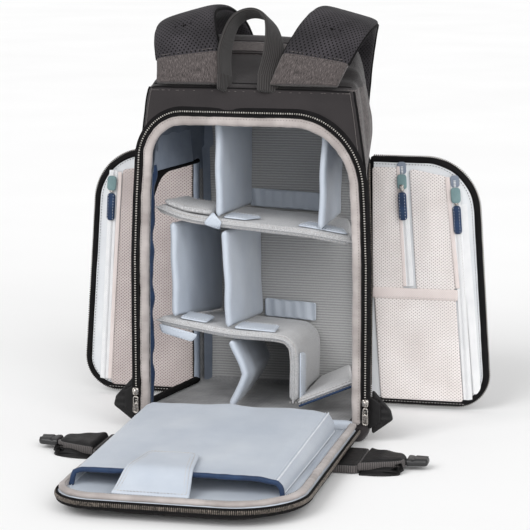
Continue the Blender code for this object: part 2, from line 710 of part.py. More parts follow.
def main():
    clear_scene()
    charcoal = finish("charcoal_nylon", (0.045, 0.043, 0.045), 0.75)
    heather = finish("heather_weave", (0.15, 0.13, 0.125), 0.9)
    black = finish("black_nylon", (0.015, 0.014, 0.015), 0.7)
    air_mesh = finish("air_mesh", (0.025, 0.024, 0.026), 0.95)
    webbing = finish("webbing", (0.035, 0.034, 0.035), 0.85)
    binding = finish("padded_binding", (0.62, 0.55, 0.53), 0.85)
    loop_lining = finish("ribbed_loop_lining", (0.28, 0.29, 0.27), 0.95)
    velvet = finish("divider_velvet", (0.40, 0.40, 0.37), 0.95)
    satin = finish("satin_lining", (0.50, 0.56, 0.66), 0.5)
    navy = finish("navy_trim", (0.03, 0.065, 0.14), 0.8)
    pale_mesh = finish("pale_mesh", (0.66, 0.58, 0.56), 0.85)
    white = finish("white_zip", (0.80, 0.81, 0.83), 0.6)
    bronze = finish("bronze_coil", (0.08, 0.075, 0.07), 0.4, 0.6)
    silver = finish("silver_metal", (0.62, 0.61, 0.60), 0.25, 1.0)
    plastic = finish("black_plastic", (0.02, 0.02, 0.022), 0.35)

    build_body(charcoal, heather, loop_lining)
    build_opening_edge(binding, black)
    build_front_pocket(heather)
    build_strap_anchors(black)
    build_dividers(velvet, satin)
    flap_axis = joint_axis("axis_flap", (0.0, FLAP_AXIS_Y, FLAP_AXIS_Z))
    build_flap(flap_axis, black, air_mesh, binding, bronze, satin, navy)
    build_sleeve_tab(flap_axis, satin)
    build_belts(flap_axis, black, plastic)
    door_axes = build_doors(charcoal, black, pale_mesh)
    build_pocket_zips(door_axes, white, silver, navy)
    build_main_sliders(silver)
    build_straps(air_mesh, plastic)
    build_handle(webbing)


main()
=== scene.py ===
import math

import bmesh
import bpy
import numpy as np
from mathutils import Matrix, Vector, noise
from mathutils.bvhtree import BVHTree


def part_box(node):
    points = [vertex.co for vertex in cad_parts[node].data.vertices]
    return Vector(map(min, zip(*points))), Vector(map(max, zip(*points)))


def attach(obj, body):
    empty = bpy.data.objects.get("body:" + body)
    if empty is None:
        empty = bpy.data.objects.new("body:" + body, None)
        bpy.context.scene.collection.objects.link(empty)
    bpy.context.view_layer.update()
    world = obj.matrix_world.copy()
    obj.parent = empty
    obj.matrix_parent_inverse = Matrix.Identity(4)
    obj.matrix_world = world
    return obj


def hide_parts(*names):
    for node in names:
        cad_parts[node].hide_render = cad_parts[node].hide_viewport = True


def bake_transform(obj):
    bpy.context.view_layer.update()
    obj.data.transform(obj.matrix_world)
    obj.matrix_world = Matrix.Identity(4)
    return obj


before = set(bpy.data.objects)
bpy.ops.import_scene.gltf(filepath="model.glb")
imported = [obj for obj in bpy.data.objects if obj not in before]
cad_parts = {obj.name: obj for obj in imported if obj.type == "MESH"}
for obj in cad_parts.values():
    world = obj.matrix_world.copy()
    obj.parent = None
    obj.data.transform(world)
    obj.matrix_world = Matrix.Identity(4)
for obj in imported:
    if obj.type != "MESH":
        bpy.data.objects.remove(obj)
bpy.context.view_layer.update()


def low(node):
    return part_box(node)[0]


def high(node):
    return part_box(node)[1]


# Main sizes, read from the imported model
NEAR_Y = low("side_post_left").y
FAR_Y = high("front_panel").y
SEAM_Z = high("back_band").z
SIDE_TOP = low("hood_side_left").z
BASE_TOP = high("base_panel").z
POST_FAR_Y = high("side_post_left").y
TRIM_WIDTH = 0.0115
OPENING_HALF = high("opening_trim").x - TRIM_WIDTH
OPENING_TOP = high("opening_trim").z - TRIM_WIDTH
OPENING_RADII = (0.070, 0.040)
WALL = 0.008
FLAP_Y = high("flap_panel").y + 0.004
FLAP_Z = high("flap_panel").z
FLAP_HALF = high("flap_panel").x
FLAP_LENGTH = FLAP_Y - low("flap_panel").y
FLAP_THICKNESS = FLAP_Z - low("flap_panel").z
FLAP_RADII = (0.082, 0.050)
DOOR_X = 0.112
DOOR_FACE = low("door_panel_right").y
DOOR_THICKNESS = high("door_panel_right").y - DOOR_FACE
DOOR_LOW = low("door_panel_right").z
DOOR_TOP = high("door_panel_right").z
DOOR_END = high("door_panel_right").x - DOOR_X
DOOR_TOP_END = 0.138
SHELF_NEAR = low("shelf_upper").y
SHELF_FAR = high("shelf_upper").y
SIDES = ((-1, "left"), (1, "right"))
X, Y, Z = np.eye(3)
SHARP = 0.0001  # radius of a corner that stays sharp


# Curves

def rows_of(points):
    return np.asarray([tuple(p) for p in points], float)


def smooth(points, steps=14):
    """Catmull-Rom curve through the points."""
    given = rows_of(points)
    ends = np.vstack([2 * given[0] - given[1], given, 2 * given[-1] - given[-2]])
    parts = []
    for a, b, c, d in zip(ends, ends[1:], ends[2:], ends[3:]):
        t = np.linspace(0, 1, steps, endpoint=False)[:, None]
        parts.append(0.5 * (2 * b + (c - a) * t + (2 * a - 5 * b + 4 * c - d) * t ** 2
                            + (3 * b - a - 3 * c + d) * t ** 3))
    return np.vstack(parts + [given[-1:]])


def lengths(path):
    steps = np.linalg.norm(np.diff(path, axis=0), axis=1)
    return np.concatenate([[0.0], np.cumsum(steps)])


def evenly(path, step=None, count=None):
    """The same line with points at equal distances."""
    path = rows_of(path)
    along = lengths(path)
    if count is None:
        count = max(2, int(round(along[-1] / step)) + 1)
    marks = np.linspace(0, along[-1], count)
    return np.stack([np.interp(marks, along, path[:, k]) for k in range(path.shape[1])], axis=1)


def loop_of(outline, step=None, count=None):
    """A closed outline as a line with points at equal distances."""
    return evenly(outline + outline[:1], step, count)


def unit(vectors):
    vectors = np.asarray(vectors, float)
    return vectors / np.maximum(np.linalg.norm(vectors, axis=-1, keepdims=True), 1e-12)


def tangents(path):
    return unit(np.gradient(path, axis=0))


def square_to(vectors, along):
    """Unit vectors without their part that runs along a line."""
    return unit(vectors - along * np.sum(vectors * along, axis=1, keepdims=True))


def rounded(corners, radii, steps=10):
    """Closed 2-D outline with true arcs at its corners; radii is one number or one for each."""
    points = []
    for index, (corner, radius) in enumerate(zip(corners, np.broadcast_to(radii, len(corners)))):
        here = Vector(corner)
        before = (Vector(corners[index - 1]) - here).normalized()
        after = (Vector(corners[(index + 1) % len(corners)]) - here).normalized()
        half = before.angle(after) / 2
        centre = here + (before + after).normalized() * (radius / math.sin(half))
        start = here + before * (radius / math.tan(half)) - centre
        end = here + after * (radius / math.tan(half)) - centre
        first = math.atan2(start.y, start.x)
        turn = math.atan2(start.x * end.y - start.y * end.x, start.dot(end))
        for angle in first + turn * np.arange(steps + 1) / steps:
            points.append((centre.x + radius * math.cos(angle),
                           centre.y + radius * math.sin(angle)))
    return points


def wobble(points, scale, seed=0.0):
    """Smooth noise from -1 to 1 at each point; scale is in cycles per metre, one or three."""
    points = np.asarray(points, float)
    flat = points.reshape(-1, points.shape[-1]) * scale + seed
    if flat.shape[1] == 2:
        flat = np.insert(flat, 2, seed, axis=1)
    return np.array([noise.noise(Vector(p)) for p in flat]).reshape(points.shape[:-1])


def waves(points, *terms):
    """Sum of smooth noises, each with its scale, seed and height."""
    return sum(wobble(points, scale, seed) * size for scale, seed, size in terms)


def spread(count, gather=0.8):
    """Shares from 0 to 1, closer together near both ends."""
    x = np.linspace(0, 1, count)
    return (1 - gather) * x + gather * (0.5 - 0.5 * np.cos(math.pi * x))


def ramp_to(x, reach):
    """From 0 to 1 within a reach."""
    return np.clip(x / reach, 0, 1)


def step_up(x, start, end):
    t = np.clip((np.asarray(x, float) - start) / (end - start), 0, 1)
    return t * t * (3 - 2 * t)


def plane(origin, across, along, up):
    """Place function of a flat frame: across it, along it and above it."""
    def place(a, b, h=0.0):
        parts = [np.asarray(size, float)[..., None] * direction
                 for size, direction in ((a, across), (b, along), (h, up))]
        return np.asarray(origin) + parts[0] + parts[1] + parts[2]
    return place


def carry(path, sides, square=True):
    """Place function for a flat shape laid along a bent line, and the line's length."""
    run = lengths(path)
    along = tangents(path)
    sides = square_to(sides, along) if square else unit(sides)
    ups = unit(np.cross(sides, along))
    if ups[len(ups) // 3, 2] < 0:
        ups = -ups

    def place(a, b, h=0.0):
        b = np.clip(b, run[0], run[-1])
        spot, side, up = [np.stack([np.interp(b, run, table[:, k]) for k in range(3)], axis=-1)
                          for table in (path, sides, ups)]
        return spot + side * np.asarray(a)[..., None] + up * np.asarray(h)[..., None]
    return place, run[-1]


UPRIGHT = plane((0, 0, 0), X, Z, Y)


# Mesh building

def pebble(square, sides):
    """Unit lump with rounded corners, for teeth and stitches."""
    rings = [(-0.86, 0.62), (-0.45, 0.97), (0.45, 0.97), (0.86, 0.62)]
    angles = np.arange(sides) * 2 * math.pi / sides + math.pi / sides
    c, s = np.cos(angles), np.sin(angles)
    x, y = np.sign(c) * np.abs(c) ** square, np.sign(s) * np.abs(s) ** square
    points = [(0, 0, -1.0)]
    for z, r in rings:
        points += [(r * a, r * b, z) for a, b in zip(x, y)]
    points.append((0, 0, 1.0))
    faces = []
    top = 1 + (len(rings) - 1) * sides
    for j in range(sides):
        k = (j + 1) % sides
        faces.append((0, 1 + k, 1 + j))
        for a in range(1, top, sides):
            faces.append((a + j, a + k, a + sides + k, a + sides + j))
        faces.append((top + j, top + k, len(points) - 1))
    return np.array(points), faces


STUD = pebble(0.45, 8)
GRAIN = pebble(1.0, 6)
MERGE = 2e-5
TEETH_MERGE = 1e-7  # neighbouring teeth stay separate


def distance_to(points, outline):
    """Distance from 2-D points to a closed outline."""
    start = np.asarray(outline, float)
    run = np.roll(start, -1, axis=0) - start
    flat = points.reshape(-1, 1, 2)
    t = np.clip(((flat - start) * run).sum(2) / np.maximum((run * run).sum(1), 1e-15), 0, 1)
    return np.linalg.norm(flat - (start + t[:, :, None] * run), axis=2).min(1).reshape(
        points.shape[:-1])


def extents(outline, b):
    """Least and greatest first coordinate of a convex outline at a second coordinate."""
    start = np.asarray(outline, float)
    end = np.roll(start, -1, axis=0)
    crossing = (start[:, 1] - b) * (end[:, 1] - b) <= 0
    s, e = start[crossing], end[crossing]
    rise = e[:, 1] - s[:, 1]
    level = np.abs(rise) <= 1e-12
    t = np.where(level, 0, (b - s[:, 1]) / np.where(level, 1, rise))
    a = np.concatenate([s[:, 0] + (e[:, 0] - s[:, 0]) * t, e[level, 0]])
    return a.min(), a.max()


def outline_grid(outline, rows, columns):
    """Points over a convex outline, closer together near its edge."""
    line = np.asarray(outline, float)
    b_low, b_high = line[:, 1].min(), line[:, 1].max()
    tiny = (b_high - b_low) * 1e-5
    grid = np.empty((rows, columns, 2))
    for row, b in zip(grid, np.clip(b_low + (b_high - b_low) * spread(rows), b_low + tiny,
                                    b_high - tiny)):
        left, right = extents(outline, b)
        row[:, 0] = left + (right - left) * spread(columns)
        row[:, 1] = b
    return grid


def relief(crown, reach, *terms):
    """Height over a pad: a crown that rises from its edge, and smooth noises."""
    def height(ab, away):
        return ramp_to(away, reach) * crown + waves(ab, *terms)
    return height


def corners(grid):
    """The four corners of each cell of a grid."""
    return np.stack([grid[:-1, :-1], grid[:-1, 1:], grid[1:, 1:], grid[1:, :-1]], axis=2)


class Cloth:
    """Collects the faces of one piece, each with its place on the cloth in metres."""

    def __init__(self):
        self.points, self.faces, self.coords, self.slots = [], [], [], []

    def grid(self, places, slot=0, wrap=False, uv=None):
        places = np.asarray(places, float)
        rows, columns = places.shape[:2]
        base = len(self.points)
        self.points.extend(map(tuple, places.reshape(-1, 3)))
        if uv is None:
            whole = np.concatenate([places, places[:, :1]], axis=1) if wrap else places
            du = np.linalg.norm(np.diff(places, axis=0), axis=2).mean(axis=1)
            dv = np.linalg.norm(np.diff(whole, axis=1), axis=2).mean(axis=0)
            uv = np.meshgrid(np.concatenate([[0], np.cumsum(du)]),
                             np.concatenate([[0], np.cumsum(dv)]), indexing="ij")
        index = np.arange(base, base + rows * columns).reshape(rows, columns)
        if wrap:
            index = np.hstack([index, index[:, :1]])
        cells = corners(index)
        self.faces.extend(cells.reshape(-1, 4).tolist())
        self.coords.append(corners(np.stack(uv, axis=-1)).reshape(-1, 2))
        self.slots.extend(np.broadcast_to(slot, cells.shape[:2]).ravel().tolist())
        return self

    def scatter(self, shape, centres, xs, ys, zs, sizes):
        """A copy of a unit shape at each centre, along three directions."""
        template, faces = shape
        flat = (template * sizes)[[i for face in faces for i in face]][:, ::2]
        for c, x, y, z in zip(centres, xs, ys, zs):
            base = len(self.points)
            self.points.extend(map(tuple, c + template * sizes @ np.array([x, y, z])))
            self.faces.extend([base + i for i in face] for face in faces)
            self.coords.append(flat + (base * 0.0007, 0))
            self.slots.extend([0] * len(faces))
        return self

    def teeth(self, path, face, size):
        """A row of zip teeth that faces one way."""
        along, face = tangents(path), np.broadcast_to(face, path.shape)
        return self.scatter(STUD, path, np.cross(along, face), face, along, size)

    def stitches(self, path, ups, length=0.0022, gap=0.0013, radius=0.00035):
        """A row of separate thread stitches along a line."""
        path, ups = rows_of(path), unit(np.broadcast_to(ups, (len(path), 3)))
        count = max(2, int(lengths(path)[-1] / (length + gap)))
        both = evenly(np.hstack([path, ups]), count=count)
        path, ups = both[:, :3], unit(both[:, 3:])
        along = tangents(path)
        return self.scatter(GRAIN, path + ups * 0.0002, unit(np.cross(along, ups)), ups, along,
                            (radius, radius, length / 2))

    def sweep(self, path, sides, half_width, half_thick, power=0.6, count=16, ripple=(), slot=0):
        """Band or cord along a path; sides point across it, and ripple varies its surface."""
        path = rows_of(path)
        along = tangents(path)
        sides = square_to(unit(np.broadcast_to(sides, path.shape)), along)
        ups = np.cross(sides, along)
        angle = np.arange(count) * 2 * math.pi / count + math.pi / count
        c, s = np.cos(angle), np.sin(angle)
        a, b = np.sign(c) * np.abs(c) ** power, np.sign(s) * np.abs(s) ** power
        rings = (path[:, None] + sides[:, None] * (half_width * a)[None, :, None]
                 + ups[:, None] * (half_thick * b)[None, :, None])
        if ripple:
            rings = rings + unit(rings - path[:, None]) * waves(rings, *ripple)[:, :, None]
        first, last = [], []
        for share, push in ((0.0, 0.9), (0.55, 0.8), (0.88, 0.42)):
            first.append(path[0] + (rings[0] - path[0]) * share - along[0] * half_thick * push)
            last.insert(0, path[-1] + (rings[-1] - path[-1]) * share
                        + along[-1] * half_thick * push)
        return self.grid(np.concatenate([first, rings, last]), slot, wrap=True)

    def ribbon(self, path, face, *shape, ripple=()):
        """Band whose broad side faces one way."""
        return self.sweep(path, np.cross(tangents(path), face), *shape, ripple=ripple)

    def tube(self, path, radius, count=8, ripple=(), slot=0):
        path = rows_of(path)
        along = tangents(path)
        side = unit(np.cross(along[0], (0.31, 0.17, 0.93)))
        sides = []
        for t in along:
            side = unit(side - t * np.dot(side, t))
            sides.append(side)
        return self.sweep(path, sides, radius, radius, 1.0, count, ripple, slot)

    def slab(self, outline, place, under, over, edge, top=None, bottom=None, rows=16, columns=10,
             slots=(0, 0)):
        """Closed pad over a convex outline; top and bottom add to the height of each face."""
        ab = outline_grid(outline, rows, columns)
        away = distance_to(ab, outline)
        away[0], away[-1], away[:, 0], away[:, -1] = 0, 0, 0, 0
        lift = np.sqrt(1 - (1 - ramp_to(away, edge)) ** 2)
        middle = (under + over) / 2
        a, b = ab[..., 0], ab[..., 1]
        for face, extra, slot in ((over, top, slots[0]), (under, bottom, slots[1])):
            height = middle + (face - middle) * lift
            if extra:
                height = height + extra(ab, away) * lift
            self.grid(place(a, b, height), slot, uv=(a, b))
        return self

    def build(self, name, body, slot, *paints, stands_for=(), merge=MERGE):
        mesh = bpy.data.meshes.new(name)
        mesh.from_pydata(self.points, [], self.faces)
        layer = mesh.uv_layers.new(name="Cloth")
        layer.data.foreach_set("uv", np.concatenate(self.coords).astype(np.float32).ravel())
        mesh.polygons.foreach_set("material_index", self.slots)
        for paint in paints:
            mesh.materials.append(PAINT[paint])
        work = bmesh.new()
        work.from_mesh(mesh)
        bmesh.ops.remove_doubles(work, verts=work.verts, dist=merge)
        bmesh.ops.dissolve_degenerate(work, edges=work.edges, dist=1e-7)
        bmesh.ops.recalc_face_normals(work, faces=work.faces)
        work.to_mesh(mesh)
        work.free()
        mesh.shade_smooth()
        piece = shown(bpy.data.objects.new(name, mesh))
        if body:
            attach(piece, body)
        if stands_for:
            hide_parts(*stands_for)
        return piece


def shown(item):
    bpy.context.scene.collection.objects.link(item)
    return item


# Materials

def tone(code):
    """Linear colour of a hexadecimal display colour."""
    parts = [int(code[i:i + 2], 16) / 255 for i in (0, 2, 4)]
    return [c / 12.92 if c <= 0.04045 else ((c + 0.055) / 1.055) ** 2.4 for c in parts] + [1.0]


class Paint:
    """One material, built node by node; kind says if patterns follow the cloth or the object."""

    def __init__(self, name, rough=0.8, metal=0.0, sheen=0.0, specular=0.4, kind="UV"):
        self.material = bpy.data.materials.new(name)
        self.material.use_nodes = True
        self.tree = self.material.node_tree
        self.shader = self.tree.nodes["Principled BSDF"]
        values = {"Roughness": rough, "Metallic": metal, "Sheen Weight": sheen,
                  "Specular IOR Level": specular, "Sheen Roughness": 0.4}
        for key, value in values.items():
            self.shader.inputs[key].default_value = value
        self.kind = kind
        self.place = self.add("ShaderNodeTexCoord").outputs[kind]
        self.normal = None

    def add(self, kind, inputs=(), **settings):
        """A node with its settings and, by name or number, its inputs."""
        node = self.tree.nodes.new(kind)
        for key, value in settings.items():
            setattr(node, key, value)
        for key, value in inputs:
            self.feed(node, key, value)
        return node

    def feed(self, node, key, value):
        if isinstance(value, bpy.types.NodeSocket):
            self.tree.links.new(value, node.inputs[key])
        else:
            node.inputs[key].default_value = value

    def math(self, kind, *values):
        return self.add("ShaderNodeMath", enumerate(values), operation=kind).outputs[0]

    def scaled(self, scale=(1, 1, 1)):
        return self.add("ShaderNodeMapping", [("Vector", self.place), ("Scale", scale)]).outputs[0]

    def axes(self):
        return self.add("ShaderNodeSeparateXYZ", [(0, self.scaled())]).outputs

    def threads(self):
        """The two directions that the cloth's threads follow."""
        x, y, z = self.axes()
        return (self.math("ADD", x, y), z) if self.kind == "Object" else (x, y)

    def noise(self, scale=(1, 1, 1), size=1.0, detail=2.0, rough=0.5):
        return self.add("ShaderNodeTexNoise", [
            ("Vector", self.scaled(scale)), ("Scale", size), ("Detail", detail),
            ("Roughness", rough)]).outputs[0]

    def ridge(self, axis, pitch, power=1.0):
        """Rounded ridges along one axis, from 0 in the valleys to 1."""
        wave = self.math("SINE", self.math("MULTIPLY", axis, 2 * math.pi / pitch))
        share = self.math("MULTIPLY_ADD", wave, 0.5, 0.5)
        return share if power == 1.0 else self.math("POWER", share, power)

    def weave(self, u, v, pitch):
        """Over-and-under plain weave height."""
        sines = [self.math("SINE", self.math("MULTIPLY", axis, math.pi / pitch)) for axis in (u, v)]
        return self.math("MULTIPLY_ADD", self.math("MULTIPLY", *sines), 0.5, 0.5)

    def holes(self, u, v, pitch_u, pitch_v, size, soft):
        """Staggered round holes: 0 inside a hole and 1 between them."""
        au, av = self.math("DIVIDE", u, pitch_u), self.math("DIVIDE", v, pitch_v)
        squares = []
        for x in (self.math("ADD", au, av), self.math("SUBTRACT", au, av)):
            part = self.math("SUBTRACT", self.math("FRACT", x), 0.5)
            squares.append(self.math("MULTIPLY", part, part))
        away = self.math("SQRT", self.math("ADD", *squares))
        return self.add("ShaderNodeMapRange", [(0, away), (1, size), (2, size + soft)],
                        interpolation_type="SMOOTHSTEP").outputs[0]

    def ramp(self, value, *stops):
        node = self.add("ShaderNodeValToRGB", [(0, value)])
        marks = node.color_ramp.elements
        while len(marks) < len(stops):
            marks.new(0.5)
        for mark, (position, colour) in zip(marks, stops):
            mark.position = position
            mark.color = tone(colour) if isinstance(colour, str) else (*[colour] * 3, 1.0)
        return node.outputs[0]

    def mix(self, share, a, b, kind="MIX"):
        a, b = [tone(x) if isinstance(x, str) else x for x in (a, b)]
        return self.add("ShaderNodeMix", [(0, share), (6, a), (7, b)], data_type="RGBA",
                        blend_type=kind).outputs[2]

    def patchy(self, share, dark, light, start=0.35):
        """Two tones that change over quickly in the middle of a noise."""
        return self.mix(self.ramp(share, (start, 0.0), (1 - start, 1.0)), dark, light)

    def shade(self, colour, share, by):
        """The colour darkened by a share that varies over the surface."""
        return self.mix(1.0, colour, self.ramp(share, (0.0, by), (1.0, 1.0)), "MULTIPLY")

    def colour(self, socket):
        self.feed(self.shader, "Base Color", socket)

    def rough(self, share, start, end):
        node = self.add("ShaderNodeMapRange", [(0, share), (3, start), (4, end)])
        self.feed(self.shader, "Roughness", node.outputs[0])

    def bump(self, height, distance, strength):
        node = self.add("ShaderNodeBump", [("Height", height), ("Distance", distance),
                                           ("Strength", strength)])
        if self.normal is not None:
            self.feed(node, "Normal", self.normal)
        self.normal = node.outputs[0]
        self.feed(self.shader, "Normal", self.normal)


def plain_cloth(name, dark, light, pitch=0.0009, rough=0.7, sheen=0.1, kind="UV", blotch=11,
                crease=0.35, specular=0.35):
    """Woven cloth with soft creases, a fine weave and slightly uneven colour."""
    p = Paint(name, rough, sheen=sheen, kind=kind, specular=specular)
    uneven = p.noise(size=blotch, detail=4, rough=0.6)
    weave = p.weave(*p.threads(), pitch)
    base = p.patchy(uneven, dark, light, 0.3)
    p.colour(p.shade(p.shade(base, weave, 0.86), p.noise(size=900, detail=1), 0.9))
    p.rough(uneven, rough - 0.06, rough + 0.08)
    p.bump(p.noise(size=blotch * 4, detail=3), 0.0010, crease)
    p.bump(weave, pitch * 0.16, 0.5)
    return p.material


def heather_cloth(name, grain, kind="UV"):
    """Two-tone yarn: short streaks along the grain over a fine weave."""
    p = Paint(name, 0.88, sheen=0.25, kind=kind, specular=0.25)
    streak = p.noise(grain, 1.0, 3, 0.62)
    fine = p.noise([g * 2.3 for g in grain], 1.0, 2, 0.5)
    both = p.math("MULTIPLY_ADD", fine, 0.4, p.math("MULTIPLY", streak, 0.6))
    base = p.ramp(both, (0.36, "292626"), (0.49, "504a49"), (0.64, "807776"))
    weave = p.weave(*p.threads(), 0.0011)
    base = p.shade(p.shade(base, weave, 0.72), p.noise(size=14, detail=2), 0.82)
    p.colour(base)
    p.bump(both, 0.0005, 0.6)
    p.bump(weave, 0.0003, 0.7)
    return p, base


def shell_cloth():
    """The body's outer cloth: charcoal nylon at the harness side and top, heather elsewhere."""
    p, heather = heather_cloth("bag_shell_cloth", (760, 760, 130), "Object")
    x, y, z = p.axes()
    near = p.math("LESS_THAN", y, NEAR_Y + 0.0058)
    top = p.math("GREATER_THAN", z, SEAM_Z + 0.0005)
    base = p.math("LESS_THAN", z, BASE_TOP)
    nylon = p.patchy(p.noise(size=11, detail=4, rough=0.6), "2d2a2b", "383435", 0.3)
    nylon = p.shade(nylon, p.weave(p.math("ADD", x, y), z, 0.0009), 0.86)
    p.colour(p.mix(p.math("MAXIMUM", p.math("MAXIMUM", near, top), base), heather, nylon))
    p.bump(p.noise(size=34, detail=3), 0.0012, 0.35)
    return p.material


def air_mesh():
    p = Paint("air_mesh_cloth", 0.9, sheen=0.05, specular=0.15)
    u, v = p.threads()
    hole = p.holes(v, u, 0.0054, 0.0072, 0.20, 0.10)
    base = p.patchy(p.noise(size=20, detail=3), "333134", "454246")
    p.colour(p.mix(hole, "0b0a0b", p.shade(base, p.noise(size=1400, detail=1), 0.7)))
    p.bump(hole, 0.0009, 0.9)
    p.bump(p.noise(size=70, detail=2), 0.0012, 0.4)
    return p.material


def pocket_mesh(name, pit, dark, light):
    p = Paint(name, 0.85, sheen=0.2, specular=0.25)
    hole = p.holes(*p.threads(), 0.0050, 0.0040, 0.17, 0.14)
    base = p.patchy(p.noise(size=18, detail=3), dark, light)
    p.colour(p.mix(hole, pit, p.shade(base, p.noise(size=900, detail=1), 0.88)))
    p.bump(hole, 0.0006, 0.8)
    p.bump(p.noise(size=45, detail=2), 0.0014, 0.4)
    return p.material


def ribbed_webbing():
    p = Paint("ribbed_webbing_cloth", 0.7, sheen=0.15, specular=0.45)
    u, v = p.threads()
    rib = p.ridge(v, 0.0024, 0.7)
    cross = p.ridge(p.math("ADD", u, p.math("MULTIPLY", v, 0.7)), 0.0014)
    # Rib crests painted lighter and grooves darker: painted highlight on the crests and painted shade
    # in the grooves
    base = p.shade(p.mix(rib, "161415", "3c3837"), cross, 0.72)
    p.colour(p.shade(base, p.noise(size=40, detail=3), 0.75))
    p.bump(rib, 0.0006, 0.9)
    p.bump(cross, 0.0002, 0.6)
    return p.material


def ribbed_edging():
    p = Paint("cross_ribbed_edging", 0.7, sheen=0.15, specular=0.4)
    rib = p.ridge(p.threads()[0], 0.0026, 0.8)
    # Rib crests painted lighter and grooves darker: painted light and shade on the ribs
    p.colour(p.shade(p.mix(rib, "343131", "625d5c"), p.noise(size=90, detail=2), 0.8))
    p.bump(rib, 0.0005, 0.9)
    return p.material


def padded_binding():
    p = Paint("padded_binding_cloth", 0.9, sheen=0.35, specular=0.25)
    fuzz = p.noise(size=700, detail=3, rough=0.7)
    pinch = p.noise((190, 40, 1), 1.0, 2)
    base = p.patchy(p.noise(size=26, detail=3), "a49c99", "c4bcb9")
    p.colour(p.shade(p.shade(base, fuzz, 0.8), pinch, 0.86))
    p.bump(pinch, 0.0009, 0.5)
    p.bump(fuzz, 0.0003, 0.6)
    return p.material


def ribbed_loop():
    p = Paint("ribbed_loop_cloth", 0.92, sheen=0.3, specular=0.2)
    drift = p.math("MULTIPLY", p.noise(size=12, detail=2), 0.0012)
    rib = p.ridge(p.math("ADD", p.threads()[0], drift), 0.0034, 0.8)
    loop = p.noise((380, 700, 1), 1.0, 2, 0.6)
    # Rib crests painted lighter and grooves darker: painted light and shade on the ribs
    base = p.shade(p.mix(rib, "a6a6a6", "c9c9c9"), loop, 0.72)
    p.colour(p.shade(base, p.noise(size=8, detail=3), 0.86))
    p.bump(rib, 0.0004, 0.6)
    p.bump(loop, 0.0004, 0.6)
    return p.material


def velvet():
    p = Paint("divider_velvet_cloth", 0.94, sheen=0.4, specular=0.2)
    fine = p.noise(size=850, detail=3, rough=0.7)
    uneven = p.noise(size=22, detail=3)
    base = p.ramp(fine, (0.35, "98989a"), (0.5, "bfbfc0"), (0.65, "dadadb"))
    p.colour(p.shade(p.shade(base, p.noise((220, 90, 1), 1.0, 3), 0.82), uneven, 0.86))
    p.bump(fine, 0.0003, 0.6)
    p.bump(uneven, 0.0012, 0.4)
    return p.material


def hem_cloth():
    p = Paint("pink_hem_cloth", 0.85, sheen=0.2, specular=0.25)
    weave = p.weave(*p.threads(), 0.0014)
    p.colour(p.shade(p.mix(p.noise(size=40, detail=3), "dccfcb", "efe5e2"), weave, 0.86))
    p.bump(weave, 0.0003, 0.6)
    return p.material


def worn_metal(name, metal, rough, dark, light):
    p = Paint(name, rough, metal=metal, specular=0.6, kind="Object")
    wear = p.noise(size=420, detail=3, rough=0.6)
    p.colour(p.patchy(wear, dark, light))
    p.rough(wear, rough - 0.06, rough + 0.14)
    p.bump(p.noise(size=1500, detail=1), 0.0001, 0.4)
    return p.material


def moulded_plastic():
    p = Paint("moulded_black_plastic", 0.36, specular=0.55, kind="Object")
    scuff = p.noise(size=60, detail=4)
    p.colour(p.mix(scuff, "141415", "2a2a2c"))
    p.rough(scuff, 0.28, 0.5)
    p.bump(p.noise(size=1100, detail=2), 0.0001, 0.5)
    return p.material


